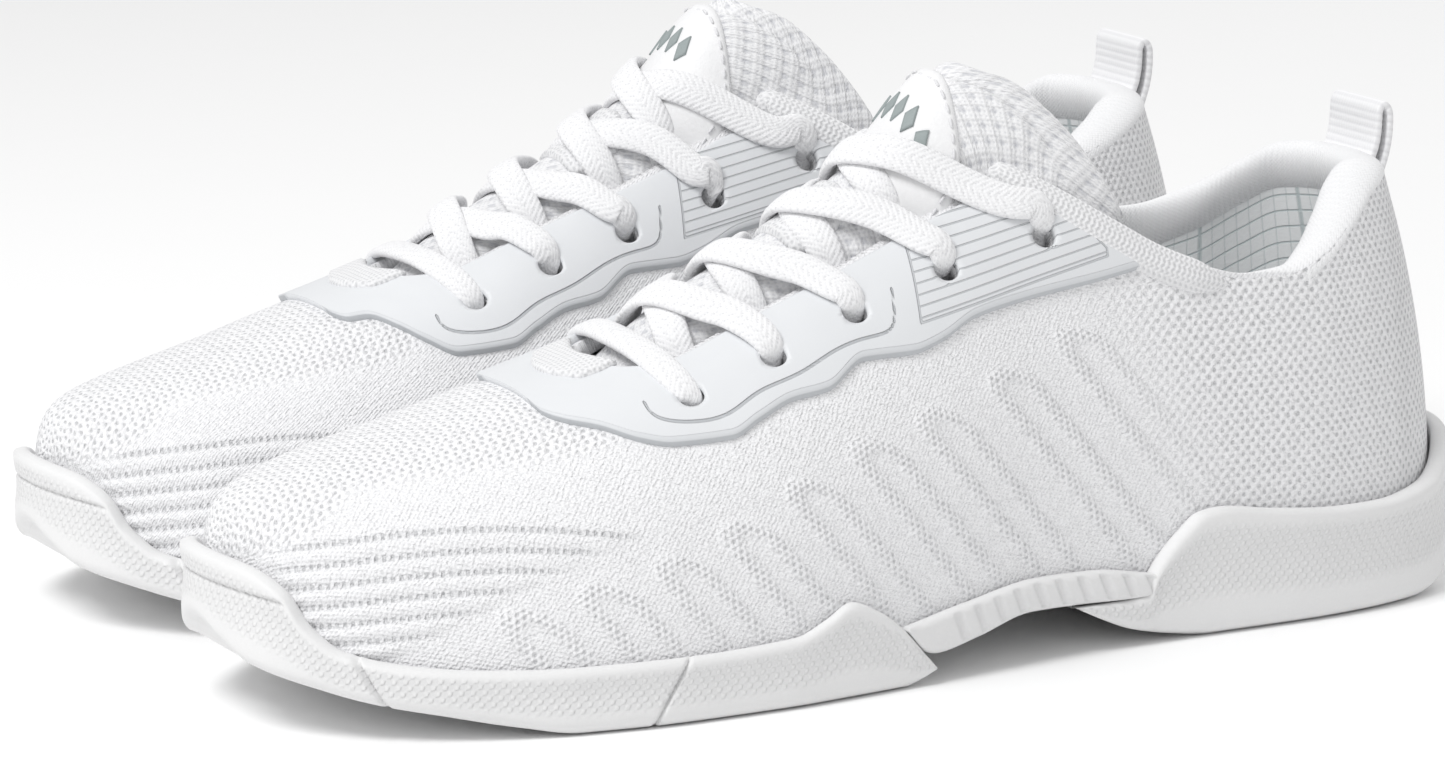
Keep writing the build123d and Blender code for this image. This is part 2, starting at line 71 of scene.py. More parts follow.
CROSSING_U = [168.0, 155.0, 139.5, 127.0]    # where each lace crossing passes the centre line

SOLE_LATERAL = [(0, 0), (5, 17), (15, 26), (30, 31.2), (45, 33.2), (75, 34.2), (100, 36), (125, 40.3),
                (150, 44.6), (165, 46.3), (185, 46.8), (205, 44.8), (220, 41), (235, 35), (246, 28),
                (254, 20), (262, -3)]
SOLE_MEDIAL = [(0, 0), (5, -17), (15, -26), (30, -31.5), (45, -33), (75, -31.5), (100, -29.5), (125, -31),
               (150, -36.5), (170, -41.5), (190, -44.5), (205, -45), (220, -44), (235, -41), (246, -33),
               (254, -24.5), (262, -3)]
RIDGE = [(0, 38), (1, 43), (4.5, 57.5), (7.6, 69), (10, 77), (13.4, 87), (19.5, 104), (27, 110), (40, 113),
         (60, 112), (80, 106), (102, 97), (124, 86.3), (141, 78), (160, 69.8), (176, 63.2), (190, 58.8),
         (207, 54.3), (221, 50.6), (236, 47.2), (246, 45), (254, 42.7), (259, 39.5), (262, 32)]
RIDGE_X = [(0, 0), (120, 0), (190, -1.2), (225, -2.5), (262, -3)]
FOOTBED = [(0, 16.5), (50, 16), (70, 14.2), (81, 12.8), (108, 13.2), (123, 11), (140, 8.3), (160, 7.5),
           (205, 7.5), (220, 9), (235, 11.5), (250, 15), (262, 18)]
TONGUE_RIDGE = [(70, 113), (95, 112), (104, 110.3), (110, 108.6), (115, 105), (122, 97.3), (130, 90.3),
                (140, 83.5), (155, 75.5), (167, 69.3), (176, 63), (183, 57.2), (193, 52.5)]
TONGUE_BASE = [(70, 45), (95, 51), (112, 55), (130, 52), (160, 45), (175, 42), (193, 37)]
TONGUE_HALF = [(70, 18.8), (90, 18.4), (106, 17.6), (116, 16.9), (126, 15.5), (193, 15)]
TONGUE_TOP = [(78, 81), (83, 90.5), (91, 101), (98, 107.5), (104, 110), (108, 114)]
TONGUE_LOW = [(78, 80.5), (88, 70), (105, 68), (125, 64), (140, 60), (160, 52), (175, 49), (194, 42)]
TOPLINE = {1: [(-6, 86), (14, 86), (20, 86), (25, 84), (31, 78.4), (38, 72.3), (47, 69), (56, 69),
               (65, 71), (75, 75), (85, 81), (96, 88), (106, 94)],
           -1: [(-6, 86), (14, 86), (20, 85.5), (28, 82), (40, 77), (53, 74.5), (65, 75),
                (75, 77.5), (85, 82), (96, 88.5), (106, 94)]}
OVERLAY_SIDE = [(73, 72.2), (88.5, 69.6), (104, 67.6), (116, 65.4), (124, 61.8), (130, 60.2), (140, 59.9),
                (148.5, 55.4), (156, 54.2), (163, 51.4), (169, 48.8), (180, 48.3)]
OVERLAY_EDGE = {1: OVERLAY_SIDE + [(185.6, 49.3), (191.6, 51.4), (197, 52.5), (199.4, 53.4), (200.4, 56.5)],
                -1: OVERLAY_SIDE + [(186, 51), (190, 53.4), (194, 55), (198, 54.6), (199.6, 55), (200.4, 56.5)]}
OVERLAY_REAR = [(73, 70.6), (84, 77), (95, 83.5), (106, 87.5)]

BALL_TOP = [(131.5, 3.2), (133.3, 5.4), (138.7, 11.4), (144.4, 15.6), (150.5, 18), (155.6, 15.6),
            (163, 13), (183, 12.3), (207, 12.3), (224, 12.8), (236, 14), (246, 16.4), (251, 21),
            (254, 27), (258, 30.6), (262, 32.2)]
BALL_BOTTOM = [(131.5, 2.8), (134, 1.4), (138, 0), (206, 0), (217, 1.7), (231, 4.6), (240, 6.4), (250, 9.2),
               (258, 12.2), (261, 16), (262, 18.5)]
HEEL_TOP = [(0, 31.5), (3, 30), (8, 25.5), (14, 22.7), (26, 21.3), (36, 21.5), (53, 23.1), (65, 24.7),
            (69, 24.2), (73, 21.5), (80.5, 13.6), (82, 9.6), (88, 9.0), (98.2, 9.2)]
HEEL_BOTTOM = [(0, 14), (2.5, 8), (6, 3.6), (11, 1), (18, 0), (66, 0), (76, 1.2), (85.5, 3.4), (92.4, 6.2),
               (98.2, 9.0)]
SHANK_TOP = [(80, 13.6), (94, 15.8), (107, 16.1), (123, 14.1), (138.2, 11.5)]
SHANK_BOTTOM = [(80, 9.3), (85.7, 9.2), (98.2, 9.6), (108.7, 9.8), (121, 7), (130.5, 5.3), (133, 5.9),
                (138.2, 11.2)]


# ---- Curves and the dome of the upper ----

def smooth(table, at):
    """Smooth curve through (station, value) pairs that never overshoots them."""
    pairs = np.array(table, float)
    steps = np.diff(pairs[:, 0])
    slopes = np.diff(pairs[:, 1]) / steps
    product = slopes[:-1] * slopes[1:]
    total = np.where(product > 0, slopes[:-1] + slopes[1:], 1)
    tangents = np.concatenate([slopes[:1], np.where(product > 0, 2 * product / total, 0), slopes[-1:]])
    at = np.clip(at, pairs[0, 0], pairs[-1, 0])
    i = np.clip(np.searchsorted(pairs[:, 0], at, side="right") - 1, 0, len(steps) - 1)
    t = (at - pairs[i, 0]) / steps[i]
    start = (1 + 2 * t) * (1 - t) ** 2 * pairs[i, 1] + t * (1 - t) ** 2 * steps[i] * tangents[i]
    return start + t * t * (3 - 2 * t) * pairs[i + 1, 1] + t * t * (t - 1) * steps[i] * tangents[i + 1]


def ramp(low, high, value):
    """0 below low, 1 above high, smooth between."""
    t = np.clip((np.asarray(value, float) - low) / (high - low), 0, 1)
    return t * t * (3 - 2 * t)


def turn(u):
    return np.arccos(np.clip(1 - 2 * np.asarray(u, float) / LENGTH, -1, 1))


def side_x(table, u):
    return smooth([(float(turn(station)), value) for station, value in table], turn(u))


def half_widths(u, inset):
    x_mid = smooth(RIDGE_X, u)
    halves = []
    for half in (side_x(SOLE_LATERAL, u) - x_mid, x_mid - side_x(SOLE_MEDIAL, u)):
        halves.append(half - inset * half / np.hypot(half, END_ROUND))
    return x_mid, halves[0], halves[1]


def place(u, inset):
    return LENGTH / 2 + (u - LENGTH / 2) * (1 - 2 * inset / LENGTH)


def unplace(u, inset):
    return LENGTH / 2 + (u - LENGTH / 2) / (1 - 2 * inset / LENGTH)


def dome(station, angle, inset):
    """Point of the upper's dome at depth inset. Angle 0 is the outer foot, pi the inner one."""
    station, angle, inset = np.broadcast_arrays(station, angle, inset)
    x_mid, plus, minus = half_widths(station, inset)
    base = smooth(FOOTBED, station)
    ridge = smooth(RIDGE, station) - (inset - KNIT_OUT)
    across = np.cos(angle)
    half = np.where(across > 0, plus, minus)
    x = x_mid + half * np.sign(across) * np.abs(across) ** (2 / ACROSS)
    return np.stack([x, place(station, inset), base + (ridge - base) * np.sin(angle)], -1)


def angle_at_x(station, x, inset=KNIT_OUT):
    x_mid, plus, minus = half_widths(station, inset)
    away = np.clip((x - x_mid) / np.maximum(np.where(x > x_mid, plus, minus), 1e-6), -1, 1)
    return np.arccos(np.sign(away) * np.abs(away) ** (ACROSS / 2))


def angle_at_z(station, z, inset=KNIT_OUT):
    """Angle on the outer side at height z, at most a right angle."""
    base = smooth(FOOTBED, station)
    ridge = smooth(RIDGE, station) - (inset - KNIT_OUT)
    return np.arcsin(np.clip((z - base) / (ridge - base), 0, 1))


def dome_z(x, u, inset=KNIT_OUT):
    station = unplace(np.asarray(u, float), inset)
    x_mid, plus, minus = half_widths(station, inset)
    half = np.where(x > x_mid, plus, minus)
    base = smooth(FOOTBED, station)
    ridge = smooth(RIDGE, station) - (inset - KNIT_OUT)
    return base + (ridge - base) * np.sqrt(1 - np.minimum(1, np.abs(x - x_mid) / half) ** ACROSS)


def unit(vectors):
    return vectors / np.linalg.norm(vectors, axis=-1, keepdims=True)


def normal(height, x, u, step=0.5):
    """Upward normal of the surface with this height function."""
    slope_x = (height(x + step, u) - height(x - step, u)) / (2 * step)
    slope_u = (height(x, u + step) - height(x, u - step)) / (2 * step)
    return unit(np.array([-float(slope_x), -float(slope_u), 1.0]))


def over(x, u, lift):
    """Point at a height over the upper."""
    return np.array([x, u, float(dome_z(x, u))]) + normal(dome_z, x, u) * lift


def tongue(station, angle, inset):
    station, angle, inset = np.broadcast_arrays(station, angle, inset)
    half = smooth(TONGUE_HALF, station) - inset
    base = smooth(TONGUE_BASE, station)
    ridge = smooth(TONGUE_RIDGE, station) - inset
    across = np.cos(angle)
    x = THROAT_X + half * np.sign(across) * np.abs(across) ** (2 / TONGUE_ACROSS)
    return np.stack([x, station, base + (ridge - base) * np.sin(angle)], -1)


def tongue_z(x, u):
    base = smooth(TONGUE_BASE, u)
    away = np.minimum(1, np.abs(x - THROAT_X) / smooth(TONGUE_HALF, u))
    return base + (smooth(TONGUE_RIDGE, u) - base) * np.sqrt(1 - away ** TONGUE_ACROSS)


def on_tongue(x, u, lift):
    """Point at a height over the tongue."""
    return np.array([x, u, float(tongue_z(x, u))]) + normal(tongue_z, x, u) * lift


def lifted(surface, x, u, lift):
    """Points at heights over one of these surfaces, in one column."""
    x, u, lift = np.broadcast_arrays(x, u, lift)
    return np.array([surface(*spot) for spot in zip(x.flat, u.flat, lift.flat)])


def square(rows, columns):
    """Grid over the square from -1 to 1."""
    return np.meshgrid(np.linspace(-1, 1, rows), np.linspace(-1, 1, columns), indexing="ij")


def even(low, high, station, shares, surface, inset, fine=120):
    """Angles at each station that part the arc from low to high by the given shares of its length."""
    steps = np.linspace(0, 1, fine)
    angles = low[:, None] + (high - low)[:, None] * steps
    points = surface(station[:, None], angles, inset)
    along = running(points, 1)
    rows = []
    for i in range(len(station)):
        where = np.asarray(shares(along[i, -1])) if callable(shares) else shares * along[i, -1]
        rows.append(np.interp(where, along[i], angles[i]))
    return np.array(rows)


def arc_map(station, angle, inset):
    """Lengths in mm over the dome: along the shoe, from u = 110, and down from its centre line."""
    reference = np.linspace(0, math.pi, 121)
    points = dome(station[:, None], reference[None, :], inset)
    along, down = running(points), running(points, 1)
    along -= along[np.argmin(np.abs(station - 110))]
    down -= down[:, 60:61]
    return [np.array([np.interp(to, reference, row) for to, row in zip(angle, rows)]) for rows in (along, down)]


# ---- Meshes ----

def to_world(points, side):
    return np.stack([side * (points[..., 0] + SPACING / 2), LENGTH / 2 - points[..., 1], points[..., 2]], -1) * MM


def weld(points):
    """First point of each place, and the number of the place that each point is at."""
    _, first, back = np.unique(np.round(points, 4), axis=0, return_index=True, return_inverse=True)
    return first, back.reshape(-1)


def make_mesh(name, points, faces, material, maps=None):
    """Mesh object from points in the shoe's frame, mirrored for a name that starts with right.
    Coincident points are welded. maps holds three values a point for the material to read."""
    first, back = weld(points)
    cleaned, seen = [], set()
    for face in faces:
        loop = list(dict.fromkeys(back[list(face)].tolist()))
        key = tuple(sorted(loop))
        if len(loop) > 2 and key not in seen:
            seen.add(key)
            cleaned.append(loop)
    mesh = bpy.data.meshes.new(name)
    mesh.from_pydata(to_world(points[first], 1 if name.startswith("left") else -1).tolist(), [], cleaned)
    for key, values in (maps or {}).items():
        layer = mesh.attributes.new(key, "FLOAT_VECTOR", "POINT")
        layer.data.foreach_set("vector", values[first].astype(np.float32).reshape(-1))
    mesh.validate()
    work = bmesh.new()
    work.from_mesh(mesh)
    bmesh.ops.delete(work, geom=[v for v in work.verts if not v.link_faces], context="VERTS")
    bmesh.ops.recalc_face_normals(work, faces=work.faces)
    work.to_mesh(mesh)
    work.free()
    mesh.polygons.foreach_set("use_smooth", [True] * len(mesh.polygons))
    mesh.materials.append(material)
    obj = bpy.data.objects.new(name, mesh)
    bpy.context.scene.collection.objects.link(obj)
    return obj


def grid_quads(rows, columns, close=False):
    i, j = np.meshgrid(np.arange(rows - 1), np.arange(columns if close else columns - 1), indexing="ij")
    right = (j + 1) % columns
    quads = np.stack([i * columns + j, i * columns + right, (i + 1) * columns + right,
                      (i + 1) * columns + j], -1)
    return quads.reshape(-1, 4)


def loft_faces(count, around):
    """Faces of a loft of closed rings, ending with its two ends."""
    faces = grid_quads(count, around, close=True).tolist()
    return faces + [list(range(around))[::-1], list(range((count - 1) * around, count * around))]


def triples(a, b, c):
    """One row of three values for each point of a grid."""
    return np.stack(np.broadcast_arrays(a, b, c), -1).reshape(-1, 3)


def running(points, axis=0):
    """Length of the way along a grid of points, from its first row or column."""
    steps = np.linalg.norm(np.diff(points, axis=axis), axis=-1)
    return np.concatenate([np.zeros_like(np.take(steps, [0], axis)), np.cumsum(steps, axis=axis)], axis=axis)


def rounded(distance, radius, least=0.0):
    """Height of a quarter-round edge of radius 1 at a distance in from it."""
    return np.sqrt(np.clip(1 - (1 - np.clip(distance / radius, 0, 1)) ** 2, least, 1))


def sheet(name, outer, inner, quads, material, maps=None):
    """Closed sheet between two skins that share their quads and their maps."""
    outer, inner = outer.reshape(-1, 3), inner.reshape(-1, 3)
    count = len(outer)
    _, same = weld(outer)
    edges = {}
    for quad in quads.tolist():
        for start, end in zip(quad, quad[1:] + quad[:1]):
            p, q = same[start], same[end]
            if p != q:
                edges.setdefault((min(p, q), max(p, q)), []).append((start, end))
    faces = quads.tolist() + (quads[:, ::-1] + count).tolist()
    faces += [[b, a, a + count, b + count] for (a, b), *others in edges.values() if not others]
    doubled = {key: np.concatenate([values, values]) for key, values in (maps or {}).items()}
    return make_mesh(name, np.concatenate([outer, inner]), faces, material, doubled)


def tube(path, width_vectors, half_width, half_thick, around=16, power=2.0):
    """Closed strap along a path: a superellipse whose wide way is along width_vectors."""
    tangents = unit(np.gradient(path, axis=0))
    wide = unit(width_vectors - tangents * np.sum(width_vectors * tangents, axis=1, keepdims=True))
    thick = np.cross(tangents, wide)
    turns = 2 * math.pi * np.arange(around) / around
    c, s = np.cos(turns), np.sin(turns)
    a = np.sign(c) * np.abs(c) ** (2 / power)
    b = np.sign(s) * np.abs(s) ** (2 / power)
    ring = (path[:, None, :] + wide[:, None, :] * (a[None, :] * half_width[:, None])[..., None]
            + thick[:, None, :] * (b[None, :] * half_thick[:, None])[..., None])
    mm = triples(running(path)[:, None], a[None, :] * half_width[:, None], b[None, :])
    return ring.reshape(-1, 3), loft_faces(len(path), around), mm


def spline(values, per_run=10):
    """Uniform cubic B-spline through the ends of a list of control values."""
    values = np.asarray(values, float)
    values = np.concatenate([[2 * values[0] - values[1]], values, [2 * values[-1] - values[-2]]])
    out = []
    for i in range(len(values) - 3):
        p0, p1, p2, p3 = values[i:i + 4]
        for t in np.arange(per_run) / per_run:
            out.append(((1 - t) ** 3 * p0 + (3 * t ** 3 - 6 * t * t + 4) * p1
                        + (-3 * t ** 3 + 3 * t * t + 3 * t + 1) * p2 + t ** 3 * p3) / 6)
    out.append((values[-3] + 4 * values[-2] + values[-1]) / 6)
    return np.array(out)


def stitches(name, path, normals, material, length=1.9, gap=1.1, radius=0.28):
    """A row of thread stitches, each a small capsule half sunk in the surface."""
    along = running(path)
    points, faces, base = [], [], 0
    place_at = gap / 2
    while place_at + length < along[-1]:
        where = place_at + length * (0.5 - 0.5 * np.cos(np.pi * np.linspace(0, 1, 7)))
        run = np.stack([np.interp(where, along, path[:, k]) for k in range(3)], -1)
        up = np.stack([np.interp(where, along, normals[:, k]) for k in range(3)], -1)
        bow = np.sin(np.pi * np.linspace(0, 1, 7))
        run = run + up * (0.12 + 0.14 * bow)[:, None]
        tangents = np.gradient(run, axis=0)
        wide = np.cross(up, tangents)
        size = radius * (0.45 + 0.55 * np.sqrt(bow))
        ring, quads, _ = tube(run, wide, size, size, around=6)
        points.append(ring)
        faces += [[i + base for i in face] for face in quads]
        base += len(ring)
        place_at += length + gap
    return make_mesh(name, np.concatenate(points), faces, material)


# ---- Materials ----

class Value:
    """A shader socket that can be worked with like a number."""

    def __init__(self, tree, socket):
        self.tree = tree
        self.socket = socket

    def math(self, operation, *others):
        node = self.tree.nodes.new("ShaderNodeMath")
        node.operation = operation
        self.tree.links.new(self.socket, node.inputs[0])
        for i, other in enumerate(others, start=1):
            if isinstance(other, Value):
                self.tree.links.new(other.socket, node.inputs[i])
            else:
                node.inputs[i].default_value = other
        return Value(self.tree, node.outputs[0])

    def __add__(self, other):
        return self.math("ADD", other)

    def __sub__(self, other):
        return self.math("SUBTRACT", other)

    def __mul__(self, other):
        return self.math("MULTIPLY", other)

    def wave(self, period):
        """Cosine with this period, from -1 to 1."""
        return (self * (2 * math.pi / period)).math("COSINE")

    def ramp(self, low, high):
        """0 at low, 1 at high, smooth between."""
        node = self.tree.nodes.new("ShaderNodeMapRange")
        node.interpolation_type = "SMOOTHSTEP"
        self.tree.links.new(self.socket, node.inputs["Value"])
        node.inputs["From Min"].default_value = low
        node.inputs["From Max"].default_value = high
        return Value(self.tree, node.outputs["Result"])


class Paint:
    """A procedural material on the Principled shader, with its pattern in millimetres of surface."""

    def __init__(self, name, roughness=0.8, specular=0.3, sheen=0.0, coat=0.0):
        self.material = bpy.data.materials.new(name)
        self.material.use_nodes = True
        self.tree = self.material.node_tree
        self.shader = self.tree.nodes["Principled BSDF"]
        for socket, value in (("Roughness", roughness), ("Specular IOR Level", specular), ("Sheen Weight", sheen),
                              ("Sheen Roughness", 0.6), ("Coat Weight", coat)):
            self.shader.inputs[socket].default_value = value

    def attribute(self, name):
        """The three values of a mesh attribute, which noise then follows."""
        node = self.tree.nodes.new("ShaderNodeAttribute")
        node.attribute_name = name
        split = self.tree.nodes.new("ShaderNodeSeparateXYZ")
        self.tree.links.new(node.outputs["Vector"], split.inputs[0])
        self.vector = node.outputs["Vector"]
        return [Value(self.tree, split.outputs[k]) for k in range(3)]

    def place(self):
        """Object coordinates in millimetres, for a piece without a surface map."""
        node = self.tree.nodes.new("ShaderNodeTexCoord")
        scale = self.tree.nodes.new("ShaderNodeVectorMath")
        scale.operation = "SCALE"
        scale.inputs["Scale"].default_value = 1000
        self.tree.links.new(node.outputs["Object"], scale.inputs[0])
        self.vector = scale.outputs[0]

    def noise(self, size, detail=3.0):
        """Noise from 0 to 1 with features of this size in mm."""
        node = self.tree.nodes.new("ShaderNodeTexNoise")
        node.inputs["Scale"].default_value = 1 / size
        node.inputs["Detail"].default_value = detail
        self.tree.links.new(self.vector, node.inputs["Vector"])
        return Value(self.tree, node.outputs["Fac"])

    def colour(self, factor, low, high):
        node = self.tree.nodes.new("ShaderNodeMix")
        node.data_type = "RGBA"
        self.tree.links.new(factor.socket, node.inputs["Factor"])
        for socket, value in (("A", low), ("B", high)):
            [s for s in node.inputs if s.name == socket and s.type == "RGBA"][0].default_value = (*value, 1)
        out = [s for s in node.outputs if s.type == "RGBA"][0]
        self.tree.links.new(out, self.shader.inputs["Base Color"])

    def rough(self, factor, low, high):
        value = factor * (high - low) + low
        self.tree.links.new(value.socket, self.shader.inputs["Roughness"])

    def bump(self, height, depth):
        """Bump from a height of 0 to 1 that stands for depth in mm."""
        node = self.tree.nodes.new("ShaderNodeBump")
        node.inputs["Strength"].default_value = 1.0
        node.inputs["Distance"].default_value = depth * MM
        self.tree.links.new(height.socket, node.inputs["Height"])
        self.tree.links.new(node.outputs["Normal"], self.shader.inputs["Normal"])


def knit_paint():
    """Engineered knit: fine jersey, an open mesh on the vamp, arcs of eyelets and a coarse honeycomb, with painted
    shade in its holes and hollows.
    """
    paint = Paint("knit_white", roughness=0.9, specular=0.12, sheen=0.15)
    mesh, honey, band = paint.attribute("zones")
    level, arcs, _ = paint.attribute("arcs")
    around, high, _ = paint.attribute("heel")
    u, v, _ = paint.attribute("mm")
    fuzz = paint.noise(0.42)
    grit = paint.noise(0.9, 1.0).ramp(0.32, 0.68)
    cloud = paint.noise(9.0)
    drift = (paint.noise(2.6) - 0.5) * 0.8
    jersey = (u - v * 0.45 + drift).wave(1.25) * (v + drift).wave(1.05) * 0.5 + 0.5
    comb = (around + drift * 0.7).wave(2.3) * (high + drift * 0.4).wave(2.6) * 0.5 + 0.5
    loops = (u * 0.8 + v * 0.6 + drift * 0.5).wave(1.7) * (v * 0.8 - u * 0.6).wave(1.9) * 0.5 + 0.5
    holes = (u + v.wave(2.7) * 0.25 + drift * 0.5).wave(1.8) * (v + drift * 0.4).wave(2.7) * 0.5 + 0.5
    valley = level.wave(ARC_PITCH) * -1.0
    painted_trough_shade = valley.ramp(-0.1, 0.9) * arcs
    dots = (u + drift * 0.3).wave(1.5).ramp(-0.2, 0.7) * valley.ramp(0.4, 0.95) * arcs
    plain = (honey + mesh + band).math("MINIMUM", 1.0) * -1.0 + 1.0
    only = mesh * -1.0 + 1.0
    height = (jersey * plain * 0.4 + comb * honey * 1.1 + loops * band * only + holes * mesh * 0.9 - dots * 0.4
              + grit * 0.35)
    # dark is mostly painted shade: darker in the holes, between the honeycomb bumps and stitch loops, in the dots
    # and in the troughs between the raised eyelet rows; fuzz, cloud and grit add random tone.
    dark = (comb.ramp(0.45, 0.08) * honey * 0.62 + loops.ramp(0.45, 0.1) * band * only * 0.55
            + holes.ramp(0.42, 0.12) * mesh * 0.62 + jersey.ramp(0.4, 0.05) * plain * 0.25 + dots * 0.4
            + painted_trough_shade * 0.16)
    dark = dark * (fuzz * 1.2 + 0.3) + (fuzz - 0.5) * 0.42 + (cloud - 0.5) * 0.06 - grit * 0.06 + 0.03
    paint.colour(dark.math("MAXIMUM", 0.0).math("MINIMUM", 1.0), (0.89, 0.89, 0.903), (0.36, 0.365, 0.38))
    paint.bump(height * 0.75 + fuzz * 0.25, 0.55)
    return paint.material


def film_paint():
    """Smooth film. Its lines attribute holds the distance from the engraved contour, the height over the
    foot of the ribbed panel and the way in from the panel's border; mm ends with the way in from the edge."""
    paint = Paint("overlay_film", roughness=0.42, specular=0.4)
    away, level, margin = paint.attribute("lines")
    _, _, edge = paint.attribute("mm")
    grain = paint.noise(0.35)
    cloud = paint.noise(14.0)
    groove = ((level - 0.4).wave(1.9).ramp(0.84, 0.98) * margin.ramp(-0.1, 0.1)).math(
        "MAXIMUM", margin.math("ABSOLUTE").ramp(0.26, 0.1))
    # line and bevel are painted shade: darker in the engraved contour, in the ribbed panel's grooves and border,
    # and along the film's bevelled lower edge; cloud and grain add random tone.
    line = away.ramp(0.34, 0.12) * 1.2 + groove * 0.85
    bevel = edge.ramp(1.5, 1.25) * 0.16 + edge.ramp(0.5, 0.25) * 0.4
    dark = cloud * 0.1 + grain * 0.05 + line * 0.48 + bevel
    paint.colour(dark.math("MINIMUM", 1.0), (0.775, 0.788, 0.806), (0.34, 0.36, 0.38))
    paint.rough(grain, 0.36, 0.52)
    paint.bump(grain * 0.04 - line - edge.ramp(1.5, 1.25) * 0.4, 0.3)
    return paint.material


def rubber_paint():
    """Off-white rubber, knurled above a smooth lower band; mm holds length, height and the band's share."""
    paint = Paint("rubber_white", roughness=0.55, specular=0.35)
    u, z, textured = paint.attribute("mm")
    lens = ((u + z * 0.25).wave(2.1) * z.wave(2.3)).ramp(-0.3, 0.9) * textured
    grain = paint.noise(0.5)
    cloud = paint.noise(18.0)
    # Painted shade: the knurled band is darker except on its raised lenses; grain and cloud add random tone.
    paint.colour(grain * 0.25 + cloud * 0.3 + textured * 0.3 - lens * 0.3, (0.84, 0.84, 0.84), (0.66, 0.66, 0.665))
    paint.rough(grain, 0.45, 0.65)
    paint.bump(lens * 0.9 + grain * 0.1, 0.22)
    return paint.material


def lace_paint():
    """Flat braid: two sets of slanting picks that meet in the middle, and a corded edge."""
    paint = Paint("lace_white", roughness=0.85, specular=0.2, sheen=0.2)
    along, across, _ = paint.attribute("mm")
    away = across.math("ABSOLUTE")
    picks = (along + away * 0.9).wave(1.25) * 0.5 + 0.5
    rows = (along - away * 1.1).wave(1.6) * away.wave(1.3) * 0.5 + 0.5
    fuzz = paint.noise(0.3)
    height = picks * 0.5 + rows * 0.5
    # Painted shade: darker where the braid is low, between the picks; fuzz adds random tone.
    paint.colour(height.ramp(0.35, 0.0) * 0.55 + fuzz * 0.22, (0.90, 0.90, 0.91), (0.62, 0.62, 0.64))
    paint.bump(height * 0.7 + fuzz * 0.5, 0.24)
    return paint.material


def collar_paint():
    paint = Paint("collar_fabric", roughness=0.9, specular=0.15, sheen=0.25)
    along, down, _ = paint.attribute("mm")
    ribs = along.wave(1.3) * 0.5 + 0.5
    weave = (along.wave(0.8) * down.wave(0.8)) * 0.5 + 0.5
    fuzz = paint.noise(0.5)
    paint.colour(weave * 0.14 + ribs * 0.1 + fuzz * 0.24, (0.92, 0.92, 0.93), (0.78, 0.785, 0.80))
    paint.bump(ribs * 0.35 + weave * 0.35 + fuzz * 0.3, 0.22)
    return paint.material


def binding_paint():
    paint = Paint("binding_knit", roughness=0.9, specular=0.15, sheen=0.2)
    along, across, _ = paint.attribute("mm")
    ribs = (along + across.wave(1.4) * 0.18).wave(1.15) * 0.5 + 0.5
    rows = across.wave(1.0) * 0.5 + 0.5
    fuzz = paint.noise(0.4)
    height = ribs * 0.6 + rows * 0.4
    # Painted shade: darker where the ribs and rows are low; fuzz adds random tone.
    paint.colour(height.ramp(0.45, 0.1) * 0.4 + fuzz * 0.3, (0.89, 0.89, 0.90), (0.48, 0.485, 0.50))
    paint.bump(height * 0.8 + fuzz * 0.25, 0.3)
    return paint.material


def lining_paint():
    """Spacer mesh with a printed-looking grid of thin grey-green lines."""
    paint = Paint("lining_mesh", roughness=0.9, specular=0.15)
    along, down, _ = paint.attribute("mm")
    level = down.wave(3.3).ramp(0.88, 0.985)
    upright = along.wave(3.0).ramp(0.9, 0.99) * 0.35
    strong = along.wave(24.0).ramp(0.985, 0.998) * 0.7
    fuzz = paint.noise(0.6)
    dark = (level * 0.85 + upright + strong).math("MINIMUM", 1.0) + fuzz * 0.2
    paint.colour(dark, (0.96, 0.97, 0.975), (0.60, 0.66, 0.67))
    paint.bump(dark * -0.6 + fuzz * 0.4 + 0.6, 0.25)
    return paint.material


def tongue_paint():
    """Air mesh: big soft cells under fine fuzz."""
    paint = Paint("tongue_mesh", roughness=0.9, specular=0.15, sheen=0.2)
    along, across, _ = paint.attribute("mm")
    wander = (paint.noise(4.0) - 0.5) * 1.2
    cells = ((along + wander).wave(4.2) * (across + wander).wave(5.0)) * 0.5 + 0.5
    small = along.wave(1.4) * across.wave(1.6) * 0.5 + 0.5
    fuzz = paint.noise(0.5)
    # Painted shade: darker in the low middles of the big cells and small loops; fuzz adds random tone.
    dark = cells.ramp(0.35, 0.05) * 0.5 + small.ramp(0.4, 0.1) * 0.3 + (fuzz - 0.45) * 0.3
    paint.colour(dark.math("MAXIMUM", 0.0), (0.88, 0.88, 0.89), (0.50, 0.51, 0.55))
    paint.bump(cells * 0.6 + small * 0.2 + fuzz * 0.25, 0.7)
    return paint.material


def webbing_paint():
    paint = Paint("webbing_white", roughness=0.8, specular=0.2, sheen=0.15)
    along, across, _ = paint.attribute("mm")
    ribs = along.wave(1.5) * 0.5 + 0.5
    picks = (across + along.wave(3.0) * 0.3).wave(0.9) * 0.5 + 0.5
    fuzz = paint.noise(0.4)
    # Painted shade: darker between the ribs; the picks add a faint pattern and fuzz random tone.
    paint.colour(ribs.ramp(0.45, 0.0) * 0.25 + fuzz * 0.2 + picks * 0.08, (0.90, 0.90, 0.91),
                 (0.62, 0.62, 0.64))
    paint.bump(ribs * 0.7 + picks * 0.15 + fuzz * 0.2, 0.15)
    return paint.material


def plain_paint(name, low, high, roughness, grain, depth, **extra):
    """Moulded, foamed or coated surface with a fine grain."""
    paint = Paint(name, roughness=roughness, **extra)
    paint.place()
    fine = paint.noise(grain)
    cloud = paint.noise(grain * 14)
    paint.colour(fine * 0.5 + cloud * 0.5, low, high)
    paint.rough(fine, roughness - 0.08, roughness + 0.08)
    paint.bump(fine, depth)
    return paint.material


